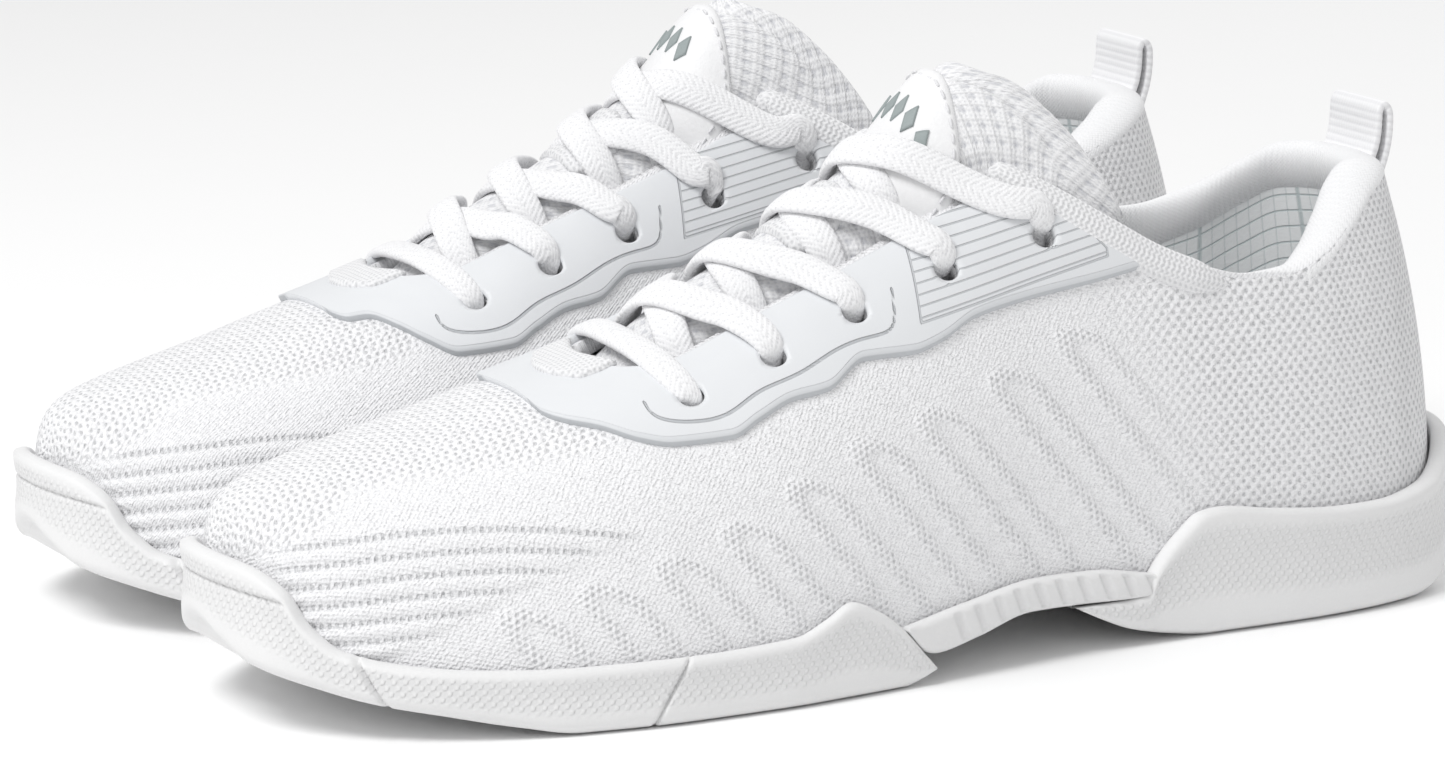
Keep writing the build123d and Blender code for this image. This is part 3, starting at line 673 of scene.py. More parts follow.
KNIT = knit_paint()
FILM = film_paint()
RUBBER = rubber_paint()
LACE = lace_paint()
COLLAR = collar_paint()
BINDING = binding_paint()
LINING = lining_paint()
TONGUE = tongue_paint()
WEBBING = webbing_paint()
TPU = plain_paint("tpu_white", (0.82, 0.82, 0.82), (0.72, 0.72, 0.725), 0.4, 0.6, 0.03, specular=0.4)
FOAM = plain_paint("eva_foam", (0.84, 0.84, 0.83), (0.76, 0.76, 0.75), 0.75, 0.5, 0.08)
BOARD = plain_paint("strobel_board", (0.72, 0.70, 0.66), (0.60, 0.58, 0.54), 0.9, 0.8, 0.12)
LINER = plain_paint("sock_liner", (0.76, 0.77, 0.78), (0.62, 0.63, 0.65), 0.92, 0.7, 0.15, sheen=0.2)
STIFF = plain_paint("stiffener", (0.70, 0.70, 0.68), (0.62, 0.62, 0.60), 0.7, 0.9, 0.05)
PATCH = plain_paint("patch_film", (0.88, 0.88, 0.885), (0.79, 0.79, 0.80), 0.5, 0.8, 0.1, specular=0.35)
THREAD = plain_paint("thread_white", (0.86, 0.86, 0.87), (0.66, 0.66, 0.68), 0.8, 0.3, 0.1)
EMBLEM = plain_paint("emblem_grey", (0.36, 0.40, 0.40), (0.26, 0.30, 0.30), 0.5, 0.4, 0.03)
AGLET = plain_paint("aglet_clear", (0.86, 0.87, 0.88), (0.80, 0.81, 0.82), 0.25, 0.5, 0.01, coat=0.4)
FLOOR = plain_paint("floor_white", (0.97, 0.97, 0.97), (0.95, 0.95, 0.95), 0.9, 40.0, 0.02, specular=0.1)


# ---- Upper ----

def stations_for(low, high, inset, pitch, extra=()):
    """Stations about one pitch apart over the surface, with extra ones where detail needs them."""
    fine = np.linspace(low, high, 4000)
    along = np.sqrt(np.gradient(place(fine, inset)) ** 2 + 0.6 * np.gradient(smooth(RIDGE, fine)) ** 2
                    + 0.6 * np.gradient(half_widths(fine, inset)[1]) ** 2)
    along = np.concatenate([[0], np.cumsum(along[1:])])
    count = int(along[-1] / pitch)
    found = np.interp(np.linspace(0, along[-1], count), along, fine)
    found = np.unique(np.concatenate([found, *extra]))
    keep = [found[0]]
    for s in found[1:-1]:
        if s - keep[-1] > 1e-3:
            keep.append(s)
    return np.array(keep + [found[-1]])


def throat_x(u, side, grow=0.0):
    """Edge of the throat slot; past its round front the two sides meet on one line."""
    half = THROAT_HALF + grow
    round_u = THROAT_FRONT_U + grow - half
    return THROAT_X + side * np.sqrt(np.clip(half ** 2 - np.clip(u - round_u, 0, half) ** 2, 0, None))


def join_angle(station):
    x_mid = smooth(RIDGE_X, station)
    join = x_mid + (THROAT_X - x_mid) * (1 - ramp(190, 230, station))
    return angle_at_x(station, join)


def rim_drop(u):
    """How far the knit's edge lies below the top of the padded collar."""
    return 3.6 - 1.8 * ramp(20, 42, u) - 0.8 * ramp(60, 92, u)


def rim_angle(station, side, grow=0.0, drop=True):
    """Angle of the upper's upper edge, measured from the foot on that side."""
    u = place(station, KNIT_OUT)
    join = join_angle(station)
    if side < 0:
        join = math.pi - join
    edge = join.copy()
    throat = angle_at_x(station, throat_x(u, side, grow))
    throat = throat if side > 0 else math.pi - throat
    edge = np.where((u > 96) & (u < THROAT_FRONT_U + grow), np.minimum(edge, throat), edge)
    height = smooth(TOPLINE[side], u) - (rim_drop(u) if drop else 0)
    height = np.where(u > 104, 200.0, height)
    top = angle_at_z(station, height)
    return np.where(height < smooth(RIDGE, station), np.minimum(edge, top), edge)


FINGERS = [(63, 61.3), (83.5, 55.7), (104, 50.2), (122, 46.4), (141, 40.9), (160, 34.7), (177.5, 30), (195, 26.4),
           (212.5, 22.8)]
MESH_EDGE = [(186, 50), (200, 47.5), (216, 45.8), (236, 43), (246, 36.2), (254.6, 31.8), (262, 30)]


def fingers(u, z):
    """How far a point is into the slanting raised loops of coarse stitches along the side."""
    band = np.zeros_like(u)
    slant = u - 0.8 * (z - 20)
    for centre, top in FINGERS:
        away = np.hypot(slant - centre, np.maximum(0, (z - (top - 4.5)) * 1.25))
        band = np.maximum(band, ramp(2.0, 2.9, away) * (1 - ramp(5.4, 6.3, away)))
    return band


def upper(foot):
    station = stations_for(0.0, LENGTH, KNIT_OUT, 1.0)
    columns = np.linspace(0, 1, 76)
    shell = Shell()
    for s in (1, -1):
        rim = rim_angle(station, s)
        low = np.zeros_like(rim)
        if s < 0:
            rim, low = math.pi - rim, low + math.pi
        angle = even(low, rim, station, columns, dome, KNIT_OUT)
        grid_u, grid_v = arc_map(station, angle, KNIT_OUT)
        skin = dome(station[:, None], angle, KNIT_OUT)
        out = skin - dome(station[:, None], angle, KNIT_OUT + 1.0)
        out /= np.maximum(np.linalg.norm(out, axis=2, keepdims=True), 1e-6)
        u, z = skin[..., 1], skin[..., 2]
        band = fingers(u, z)
        level = z + 0.0035 * (u - 220) ** 2
        arc_end = 190.5 + (36 - level) * 2.2
        mesh = ramp(-1.6, 1.6, z - smooth(MESH_EDGE, u)) * ramp(184, 190, u)
        arcs = ramp(0, 5, u - arc_end) * (1 - ramp(248, 255, u)) * (1 - mesh) * (1 - ramp(37, 39, level))
        waves = (0.5 + 0.5 * np.cos(2 * math.pi * level / ARC_PITCH)) ** 1.3 * arcs
        honey = 1 - ramp(66, 98, u + 0.35 * (60 - z))
        band *= (1 - honey) * (1 - arcs)
        curl = np.arctan2(skin[..., 0], np.maximum(38 - u, 0) + 1e-9)
        around = np.where(u < 38, 34 * curl, s * (34 * math.pi / 2 + u - 38))
        edge = np.minimum(1, (columns[None, :] * 76) / 4) * ramp(0, 0.03, 1 - columns)[None, :]
        rise = (0.4 * band + 0.75 * waves) * edge
        shell.add(s, skin + out * rise[..., None], dome(station[:, None], angle, KNIT_OUT + KNIT_THICK),
                  mm=(grid_u, grid_v, z), zones=(mesh, honey, band), arcs=(level, arcs, arcs), heel=(around, z, z))
    flex(shell.mesh(f"{foot}_upper_knit", KNIT, EYELET_RADIUS), foot, "upper")


def eyelets():
    sides = ((1, EYELET_LATERAL_X), (-1, EYELET_MEDIAL_X))
    return {(side, row): (xs[row], EYELET_U[row]) for side, xs in sides for row in range(5)}


class Shell:
    """Grids over the outer side, 1, and the inner side, -1, gathered into one sheet with eyelets."""

    def __init__(self):
        self.outer, self.inner, self.quads, self.maps, self.count = [], [], [], {}, 0

    def add(self, side, outer, inner, **maps):
        part = grid_quads(*outer.shape[:2]) + self.count
        self.quads.append(part if side > 0 else part[:, ::-1])
        self.outer.append(outer.reshape(-1, 3))
        self.inner.append(inner.reshape(-1, 3))
        self.count += len(self.outer[-1])
        for key, values in maps.items():
            self.maps.setdefault(key, []).append(triples(*values))

    def mesh(self, name, material, radius):
        outer, inner = np.concatenate(self.outer), np.concatenate(self.inner)
        quads = cut_eyelets(outer, inner, np.concatenate(self.quads), radius)
        maps = {key: np.concatenate(rows) for key, rows in self.maps.items()}
        return sheet(name, outer, inner, quads, material, maps)


def cut_eyelets(outer, inner, quads, radius):
    """Drops the quads over each eyelet and draws the rim left behind on to a circle."""
    keep = np.ones(len(quads), bool)
    for x, u in eyelets().values():
        centre, axis = over(x, u, 0), normal(dome_z, x, u)
        away = outer - centre
        depth = away @ axis
        flat = away - depth[:, None] * axis
        distance = np.linalg.norm(flat, axis=1)
        near = (np.abs(depth) < 6) & (distance < radius + 3)
        inside = near & (distance < radius * 0.98)
        dropped = inside[quads].any(axis=1) & near[quads].all(axis=1)
        rim = np.unique(quads[dropped])
        rim = rim[~inside[rim]]
        keep &= ~dropped
        pull = 1 - radius / np.maximum(distance[rim], 1e-6)
        shift = flat[rim] * pull[:, None]
        outer[rim] -= shift
        inner[rim] -= shift
    return quads[keep]


def stands_for(foot, nodes):
    """Hides the CAD nodes that a piece replaces."""
    for node in nodes.split():
        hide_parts(f"{foot}_{node}")


def flex(obj, foot, nodes):
    """A piece that spans the toe's bend: hides the CAD nodes it stands for and bakes its transform into its mesh,
    attached to no body.
    """
    stands_for(foot, nodes)
    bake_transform(obj)


def fixed(obj, foot, nodes):
    """A piece that keeps its shape."""
    stands_for(foot, nodes)
    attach(obj, f"{foot}_shoe")


def on_fold(obj, foot, nodes):
    """A piece that lies over the fold of the tongue."""
    stands_for(foot, nodes)
    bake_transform(obj)


def film_places(length):
    """Places over the film from its lower edge: close ones over the bevel, then even ones."""
    edge = min(1.0, length / 3)
    even_ones = edge + (length - edge) * np.linspace(0, 1, 56)[1:]
    return np.concatenate([np.array([0, 0.25, 0.55, 1.0]) * edge, even_ones])


def overlay(foot):
    """Eyestay film: a horseshoe with a wavy, bevelled edge and shallow engraved lines."""
    tip = np.arange(unplace(197.5, 2.3), unplace(200.4, 2.3), 0.2)
    station = stations_for(unplace(74, 2.3), unplace(200.4, 2.3), KNIT_OUT, 0.62, (tip,))
    u_line = place(station, KNIT_OUT)
    shell = Shell()
    for s in (1, -1):
        low = angle_at_z(station, smooth(OVERLAY_EDGE[s], u_line))
        rear = angle_at_z(station, smooth(OVERLAY_REAR, u_line))
        high = rim_angle(station, s, grow=1.5, drop=False)
        high = np.where(u_line < 106, np.minimum(high, rear), high)
        high = np.maximum(high, low + 1e-4)
        low = np.minimum(low, high)
        if s < 0:
            low, high = math.pi - low, math.pi - high
        angle = even(low, high, station, film_places, dome, KNIT_OUT)
        grid_u, grid_v = arc_map(station, angle, KNIT_OUT)
        under = dome(station[:, None], angle, KNIT_OUT - 0.15)
        along_edge = np.linalg.norm(under - under[:, :1], axis=2)
        depth = FILM_THICK * rounded(along_edge, 0.9)
        to_top = np.linalg.norm(under - under[:, -1:], axis=2)
        to_top = np.where((u_line > 187)[:, None], 9.0, to_top)
        depth *= rounded(to_top, 0.7, 0.04)
        inset = KNIT_OUT - 0.15 - np.maximum(depth, 0.02)
        shell.add(s, dome(station[:, None], angle, inset), dome(station[:, None], angle, KNIT_OUT + 0.25),
                  mm=(grid_u, grid_v, along_edge), lines=engraving(under))
    film = shell.mesh(f"{foot}_overlay_film", FILM, EYELET_RADIUS - 0.15)
    flex(film, foot, "eyestay_overlay")


CONTOUR = [(182.3, 54.7), (182.2, 52.7), (178.7, 51.5), (170.5, 51.5), (165.5, 53.9), (161.4, 56.3),
           (153, 58.1), (146.5, 61.5), (139.7, 63.4), (133.6, 63.7), (132.3, 66.9), (131.7, 71.1)]
RIB_PANEL = [(84, 74.6), (104, 70.4), (118, 67.4), (128.6, 65.2)]


def engraving(points):
    """Distance from the contour line round the front eyelets, height over the foot of the ribbed panel
    behind them, and the way in from the panel's border."""
    u, z = points[..., 1], points[..., 2]
    line = spline(CONTOUR, 6)
    away = np.full(u.shape, 8.0)
    near = (u > 122) & (u < 192) & (z < 78)
    flat = np.stack([u[near], z[near]], -1)
    for a, b in zip(line[:-1], line[1:]):
        run = b - a
        t = np.clip(((flat - a) @ run) / (run @ run), 0, 1)
        away[near] = np.minimum(away[near], np.linalg.norm(flat - a - t[:, None] * run, axis=1))
    level = z - smooth(RIB_PANEL, u)
    margin = np.minimum(level + 0.4, 127.6 - u - 0.1 * (z - 66))
    margin = np.minimum(margin, u - 0.9 * np.maximum(z - 75, 0) - 87)
    return away, level, np.minimum(margin, 87.5 - z)


def throat_patch(foot):
    """Stitched reinforcement over the front end of the throat."""
    a, b = square(25, 13)
    x = THROAT_X + 10.6 * a * (1 - 0.06 * b ** 2)
    u = 189.3 + 4.2 * b * (1 - 0.1 * np.abs(a) ** 3) - 3.4 * a ** 2
    edge = np.minimum(1 - np.abs(a), 1 - np.abs(b)) * 5
    rise = 1.75 + 0.75 * rounded(edge, 1)
    obj = sheet(f"{foot}_throat_reinforcement", lifted(over, x, u, rise), lifted(over, x, u, 0.9),
                grid_quads(25, 13), BINDING, {"mm": triples(x, u, x)})
    fixed(obj, foot, "throat_patch")


# ---- Ankle: collar, lining, binding ----

def ankle_point(phi, inset, z):
    """Point of the dome at depth inset and height z, in direction phi from the ankle's axis."""
    phi, inset, z = np.broadcast_arrays(phi, inset, z)
    low, high = np.zeros(phi.shape), np.full(phi.shape, 90.0)
    across, along = np.sin(phi), -np.cos(phi)
    for _ in range(34):
        middle = (low + high) / 2
        u = 52 + along * middle
        x = across * middle
        station = unplace(u, inset)
        inside = (station > 0) & (station < LENGTH)
        x_mid, plus, minus = half_widths(np.clip(station, 0.01, LENGTH - 0.01), inset)
        half = np.where(x > x_mid, plus, minus)
        away = np.abs(x - x_mid) / np.maximum(half, 1e-6)
        base = smooth(FOOTBED, station)
        ridge = smooth(RIDGE, station) - (inset - KNIT_OUT)
        height = base + (ridge - base) * np.sqrt(np.clip(1 - np.minimum(1, away) ** ACROSS, 0, 1))
        within = inside & (away < 1) & (height > z)
        low = np.where(within, middle, low)
        high = np.where(within, high, middle)
    return np.stack([across * low, 52 + along * low, z], -1)


def rim_heights(phi):
    """Height of the top of the collar in each direction, 0 at the back of the heel."""
    z = np.full(phi.shape, 80.0)
    for _ in range(12):
        point = ankle_point(phi, KNIT_OUT, z)
        outer = smooth(TOPLINE[1], point[..., 1])
        inner = smooth(TOPLINE[-1], point[..., 1])
        share = ramp(-6, 6, point[..., 0])
        z = 0.5 * z + 0.5 * (inner + (outer - inner) * share)
    return z


def ring(name, phi, profile, material):
    """Loft of a profile of (depth, height under the rim) pairs round the ankle."""
    heights = rim_heights(phi)
    rows = []
    for k, angle in enumerate(phi):
        depths, drops = profile(angle)
        rows.append(ankle_point(np.full(len(depths), angle), depths, heights[k] - drops))
    grid = np.array(rows)
    along, across = running(grid.mean(axis=1)), running(grid, 1)
    return make_mesh(name, grid.reshape(-1, 3), loft_faces(*grid.shape[:2]), material,
                     {"mm": triples(along[:, None], across, across)})


def collar_front(phi):
    """0 round the heel, 1 where the roll thins out towards the throat."""
    return float(ramp(0.95, 1.75, abs(phi)))


def collar(foot):
    def profile(phi):
        front = collar_front(phi)
        outline = [(4.6, 9), (4.4, 7.4), (4.1, 5.8), (3.4, 4.2), (3.0, 2.8), (3.8, 1.1), (5.4, 0.15), (7.4, 0),
                   (9.2, 0.7), (10.4, 2.0), (11.0, 3.9), (11.0, 6.2), (10.5, 8.2), (9.9, 9.7), (9.1, 10.1),
                   (8.3, 9.5), (7.9, 8.6), (6.4, 8.8)]
        rows = spline(outline + outline[:1], 3)[:-1]
        depth = 2.7 + (rows[:, 0] - 2.7) * (1 - 0.45 * front)
        return np.maximum(depth, 2.7 + 2.0 * front), rows[:, 1] + 0.9 * front

    phi = np.linspace(-2.5, 2.5, 260)
    obj = ring(f"{foot}_collar_roll", phi, profile, COLLAR)
    fixed(obj, foot, "collar_pad")


def lining(foot):
    def profile(phi):
        drops = np.concatenate([np.linspace(7.6, 55, 34), np.linspace(55, 7.6, 34)])
        depth = np.concatenate([np.full(34, 10.0), np.full(34, 9.2)])
        return 2.7 + (depth - 2.7) * (1 - 0.45 * collar_front(phi)), drops

    phi = np.linspace(-1.95, 1.95, 200)
    obj = ring(f"{foot}_collar_lining_mesh", phi, profile, LINING)
    fixed(obj, foot, "collar_lining")


def bindings(foot):
    """Folded knit band along the rim from the side of the ankle up to the throat."""
    for s, word in ((1, "outer"), (-1, "inner")):
        u = np.linspace(60, 106.5, 60)
        z = smooth(TOPLINE[s], u) - 2.9
        station = unplace(u, KNIT_OUT)
        angle = angle_at_z(station, z)
        throat = angle_at_x(station, throat_x(u, s))
        throat = throat if s > 0 else math.pi - throat
        angle = np.where(u > 96, np.minimum(angle, throat), angle)
        angle = angle if s > 0 else math.pi - angle
        path = dome(station, angle, KNIT_OUT + 0.6)
        higher = dome(station, angle + 0.02 * s, KNIT_OUT + 0.6)
        share = np.linspace(0, 1, 60)
        swell = np.sqrt(ramp(0, 0.2, share)) * np.sqrt(ramp(0, 0.06, 1 - share))
        points, faces, mm = tube(path, higher - path, 0.4 + 3.0 * swell, 0.5 + 1.5 * swell, 20, 2.3)
        obj = make_mesh(f"{foot}_{word}_binding", points, faces, BINDING, {"mm": mm})
        fixed(obj, foot, "")


# ---- Tongue ----

def tongue_side(u):
    """Angle at which the tongue's side ends."""
    base = smooth(TONGUE_BASE, u)
    return np.arcsin(np.clip((smooth(TONGUE_LOW, u) - base) / (smooth(TONGUE_RIDGE, u) - base), 0, 1))


def tongue_grid(rows=96, columns=61):
    """Stations and angles over the tongue, from its free top edge (row 0) to its front end."""
    share = np.linspace(-1, 1, columns)
    u_top = []
    u_fine = np.linspace(78, 106, 400)
    for a in np.abs(share):
        z = tongue(u_fine, math.pi / 2 - a * (math.pi / 2 - tongue_side(u_fine)), 0.0)[:, 2]
        under = z <= smooth(TONGUE_TOP, u_fine)
        u_top.append(u_fine[np.argmax(under)] if under.any() else u_fine[-1])
    u_top = np.array(u_top)
    u = u_top + (np.linspace(0, 1, rows) ** 1.15)[:, None] * (193 - u_top)
    return u, math.pi / 2 - share * (math.pi / 2 - tongue_side(u)), share


def tongue_pad(foot):
    u, angle, share = tongue_grid()
    top = tongue(u, angle, 0.0)
    edge = np.minimum((1 - np.abs(share)) * 17, np.linalg.norm(top - top[:1], axis=2))
    swell = rounded(edge, 3.2)
    seam = np.exp(-((edge - 6.0) / 0.9) ** 2) * 0.8 * (1 - ramp(118, 126, u))
    outer = tongue(u, angle, 1.6 - 1.5 * swell + seam)
    inner = tongue(u, angle, 3.0 + 1.6 * swell - 0.5 * seam)
    along, across = running(top), running(top, 1)
    obj = sheet(f"{foot}_tongue_pad", outer, inner, grid_quads(*u.shape), TONGUE,
                {"mm": triples(along, across, across)})
    on_fold(obj, foot, "tongue_lower tongue_top")


def tongue_sheet(name, u_low, u_high, half, lift, thick, material):
    """Thin sheet with rounded corners lying on the tongue."""
    a, b = square(33, 25)
    mid, reach = (u_low + u_high) / 2, (u_high - u_low) / 2
    corner = 1 - 0.16 * a ** 2 * b ** 2
    x, u = THROAT_X + half * a * corner, mid + reach * b * corner
    edge = np.minimum(1 - np.abs(a), (1 - np.abs(b)) * reach / half) * half
    rise = lift + thick * rounded(edge, thick)
    return sheet(name, lifted(on_tongue, x, u, rise), lifted(on_tongue, x, u, lift - 0.25), grid_quads(33, 25),
                 material, {"mm": triples(u, x, x)})


def emblem(foot):
    """A plain row of raised lozenges on the badge."""
    a, b = square(7, 7)
    top, bottom, quads = [], [], []
    for k, middle in enumerate((-5, -1.5, 2, 5.5, 9)):
        x, u = THROAT_X + middle + 0.65 * (a + b), 118.2 + (b - a)
        top.append(lifted(on_tongue, x, u, 1.35))
        bottom.append(lifted(on_tongue, x, u, 0.7))
        quads.append(grid_quads(7, 7) + 49 * k)
    obj = sheet(f"{foot}_badge_emblem", np.concatenate(top), np.concatenate(bottom), np.concatenate(quads),
                EMBLEM)
    on_fold(obj, foot, "emblem")


def tongue_patch(foot):
    obj = tongue_sheet(f"{foot}_tongue_badge", 110.5, 128.5, 15.4, 0.1, 0.9, PATCH)
    on_fold(obj, foot, "tongue_patch")
    turns = np.linspace(0, 2 * math.pi, 120)
    x = THROAT_X + 13.6 * np.sign(np.cos(turns)) * np.abs(np.cos(turns)) ** 0.35
    u = 119.5 + 7.3 * np.sign(np.sin(turns)) * np.abs(np.sin(turns)) ** 0.35
    normals = np.array([normal(tongue_z, *spot) for spot in zip(x, u)])
    seam = stitches(f"{foot}_badge_stitching", lifted(on_tongue, x, u, 1.08), normals, THREAD)
    on_fold(seam, foot, "")
    emblem(foot)
    keeper = tongue_sheet(f"{foot}_lace_loop", 132, 146, 9, 0.1, 0.9, BINDING)
    fixed(keeper, foot, "lace_keeper")


# ---- Lace ----

def lace_points():
    """Control points, normals and half sizes of one lace through all the eyelets."""
    halves = []
    for first in (1, -1):
        x, u = eyelets()[(first, 0)]
        n = normal(dome_z, x, u)
        rows = [(over(x, u, 1.2), n, 2.5, 1.2), (over(x, u, -2.2), n, 2.2, 1.3)]
        side = first
        for row in range(4):
            rows += crossing(side, row, side < 0)
            side = -side
        x, u = eyelets()[(side, 4)]
        n = normal(dome_z, x, u)
        rows += [(over(x, u, -5.5), n, 2.6, 1.2),
                 (np.array([x - side * 0.5, u + 5, 62.0]), np.array([side, 0, 0.3]), 3.0, 1.0),
                 (np.array([x + side * 1.5, u + 13, 48.0]), np.array([side, 0, 0.1]), 3.0, 1.0),
                 (np.array([x + side * 2.0, u + 27, 38.0]), np.array([side, 0, 0.1]), 2.2, 1.2)]
        halves.append(rows)
    bar = []
    for x, u in ((21.0, 175.6), (13.0, 177.2), (1.8, 177.9), (-9.4, 177.2), (-17.6, 175.6)):
        z = max(float(dome_z(x, u)), float(tongue_z(x, u)))
        n = normal(dome_z, x, 186.0)
        lift = 1.9 if abs(x - THROAT_X) > 15 else 2.2
        bar.append((np.array([x, u, z]) + n * lift, n, 3.0, 1.15))
    return list(reversed(halves[0])) + bar + halves[1]


def crossing(side, row, high):
    """From under the eyestay at one eyelet, over the tongue, and down into the next eyelet across."""
    x_near, u_near = eyelets()[(side, row)]
    x_far, u_far = eyelets()[(-side, row + 1)]
    edge_near = THROAT_X + side * THROAT_HALF
    edge_far = THROAT_X - side * THROAT_HALF
    u_mid = CROSSING_U[row]
    u_exit = (u_near + u_mid) / 2 if row < 3 else u_mid
    n_near, n_far = normal(dome_z, x_near, u_near), normal(dome_z, x_far, u_far)
    lift = 3.7 if high else 1.8
    x_rise, x_bend = edge_near - side * 4.6, THROAT_X - side * 8.5
    bend, drop, lie = (0.6, 0.34, 0.13) if row < 3 else (0.78, 0.5, 0.2)
    u_bend = u_far + bend * (u_mid - u_far)
    x_drop, u_drop = edge_far + side * 1.0, u_far + drop * (u_mid - u_far)
    x_lie, u_lie = edge_far - side * 4.4, u_far + lie * (u_mid - u_far)
    return [
        (over(x_near, u_near, -4.6), n_near, 2.4, 1.2),
        (over(edge_near + side * 3.0, u_exit, -4.6), n_near, 2.9, 1.1),
        (over(edge_near - side * 1.0, u_exit, -3.2), n_near, 3.2, 1.1),
        (on_tongue(x_rise, u_exit - 0.5, 1.9), normal(tongue_z, x_rise, u_exit), 3.4, 1.1),
        (on_tongue(THROAT_X + side * 3.4, u_mid + 1, lift), normal(tongue_z, THROAT_X + side * 2, u_mid),
         3.5, 1.1),
        (on_tongue(THROAT_X - side * 3.4, u_mid - 1, lift), normal(tongue_z, THROAT_X - side * 2, u_mid),
         3.5, 1.1),
        (on_tongue(x_bend, u_bend, 3.4 if high else 2.2), normal(tongue_z, x_bend, u_bend), 3.5, 1.1),
        (over(x_drop, u_drop, 2.9), n_far, 3.5, 1.1),
        (over(x_lie, u_lie, 2.5), n_far, 3.3, 1.15),
        (over(x_far + side * 2.6, u_far + 0.3, 2.4), n_far, 3.0, 1.15),
        (over(x_far + side * 0.7, u_far - 0.2, 1.2), n_far, 2.5, 1.2),
        (over(x_far + side * 0.7, u_far, -1.8), n_far, 2.2, 1.2)]


def lace(foot):
    rows = lace_points()
    path, up, sizes = (spline(values, 8) for values in ([r[0] for r in rows], [r[1] for r in rows],
                                                        [r[2:] for r in rows]))
    wide = np.cross(up, unit(np.gradient(path, axis=0)))
    held = unit(wide[0])
    steady = []
    for w in wide:
        size = np.linalg.norm(w)
        if steady and size > 0.45:
            w = w / size
            held = unit(0.5 * held + 0.5 * (w if w @ held > 0 else -w))
        steady.append(held)
    shape, faces, mm = tube(path, np.array(steady), sizes[:, 0], sizes[:, 1], 20, 2.5)
    obj = make_mesh(f"{foot}_flat_lace", shape, faces, LACE, {"mm": mm})
    fixed(obj, foot, "lace")


# ---- Pull tab ----

def pull_tab(foot):
    """Loop of ribbed webbing, sewn down behind the collar and inside it."""
    outline = [(16.4, 80.5), (15.2, 83.5), (14.3, 86.5), (13.9, 89.5), (13.8, 92), (13.9, 93.8), (15.1, 95.2),
               (16.3, 94), (16.3, 92), (16.5, 89), (17.2, 86), (18.4, 83.5)]
    line = spline(outline, 8)
    path = np.stack([np.zeros(len(line)), line[:, 0], line[:, 1]], -1)
    wide = np.tile([1.0, 0, 0], (len(path), 1))
    points, faces, mm = tube(path, wide, np.full(len(path), 9.0), np.full(len(path), 0.8), 32, 8)
    obj = make_mesh(f"{foot}_heel_loop", points, faces, WEBBING, {"mm": mm})
    stands_for(foot, "pull_tab")
    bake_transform(obj)


# ---- Sole ----

def sides(stations, inset):
    """x of the shoe's outer side, 1, and inner side, -1, at a depth."""
    x_mid, plus, minus = half_widths(stations, inset)
    return {1: x_mid + plus, -1: x_mid - minus}


def pod(name, stations, top, bottom, floor, engrave=None, texture=1.0, material=RUBBER, slits=()):
    """Closed rubber cup: bulged side walls with a rolled lip, a floor inside and a grooved tread."""
    z_top, z_low = smooth(top, stations), smooth(bottom, stations)
    tall = np.maximum(z_top - z_low, 0.05)
    rise = np.concatenate([np.linspace(0, 1, 5)[:-1] * 0.12, 0.12 + np.linspace(0, 1, 31) * 0.78,
                           0.90 + np.linspace(0, 1, 5)[1:] * 0.10])
    z = z_low[:, None] + tall[:, None] * rise
    round_top = np.minimum(1.5, tall / 3)[:, None]
    round_low = np.minimum(3.0, tall / 3)[:, None]
    inset = round_top * (1 - rounded(z_top[:, None] - z, round_top))
    inset += 0.8 * round_low * (1 - rounded(z - z_low[:, None], round_low))
    inset += 0.45 * np.sin(np.pi * np.clip((rise[None, :] - 0.25) / 0.7, 0, 1)) ** 2 * ramp(9, 14, tall)[:, None]
    for place_u, slant, z_mid in slits:
        line = place_u + slant * (z - z_mid)
        inset += 1.1 * np.exp(-((stations[:, None] - line) / 0.42) ** 2)
    if engrave is not None:
        inset += engrave(stations[:, None], z, rise[None, :])
    walls = {s: np.stack([x, place(stations[:, None], inset), z], -1)
             for s, x in sides(stations[:, None], inset).items()}
    z_floor = np.clip(np.minimum(z_low + floor, z_top - 0.4), z_low + 0.02, None)
    lip = ((2.2, z_top), (2.8, z_top - 0.25), (3.0, z_top - 0.9), (3.0, z_floor))
    inner = {s: np.stack([np.stack([sides(stations, depth)[s], place(stations, depth), np.maximum(level, z_floor)],
                                   -1) for depth, level in lip], 1) for s in (1, -1)}
    share = np.linspace(0, 1, 27)[1:-1]
    first, last = walls[-1][:, 0], walls[1][:, 0]
    under = first[:, None] + (last - first)[:, None] * share[None, :, None]
    tread = np.cos(2 * math.pi * (under[..., 1] + 3.2 * np.cos(under[..., 0] / 5.0)) / 8.5)
    flat = 1 - ramp(0.3, 2.5, z_low)
    margin = ramp(0.04, 0.1, share) * (1 - ramp(0.9, 0.96, share))
    under[..., 2] += 0.9 * ramp(0.5, 0.8, tread) * flat[:, None] * margin[None, :]
    loop = np.concatenate([walls[1], inner[1], inner[-1][:, ::-1], walls[-1][:, ::-1], under], axis=1)
    faces = loft_faces(*loop.shape[:2])
    points = loop.reshape(-1, 3)
    faces = faces[:-2] + [cap for cap in faces[-2:] if np.ptp(points[cap, 0]) > 0.5]
    run = running(np.stack([stations, half_widths(stations, 0.0)[1]], -1))
    up = (loop[..., 2] - z_low[:, None]) / tall[:, None]
    wall = np.repeat([1, 0, 1, 0], [len(rise), 2 * len(lip), len(rise), len(share)])
    textured = ramp(0.24, 0.40, up) * (1 - ramp(0.80, 0.92, up)) * wall * texture
    return make_mesh(name, points, faces, material, {"mm": triples(run[:, None], loop[..., 2], textured)})


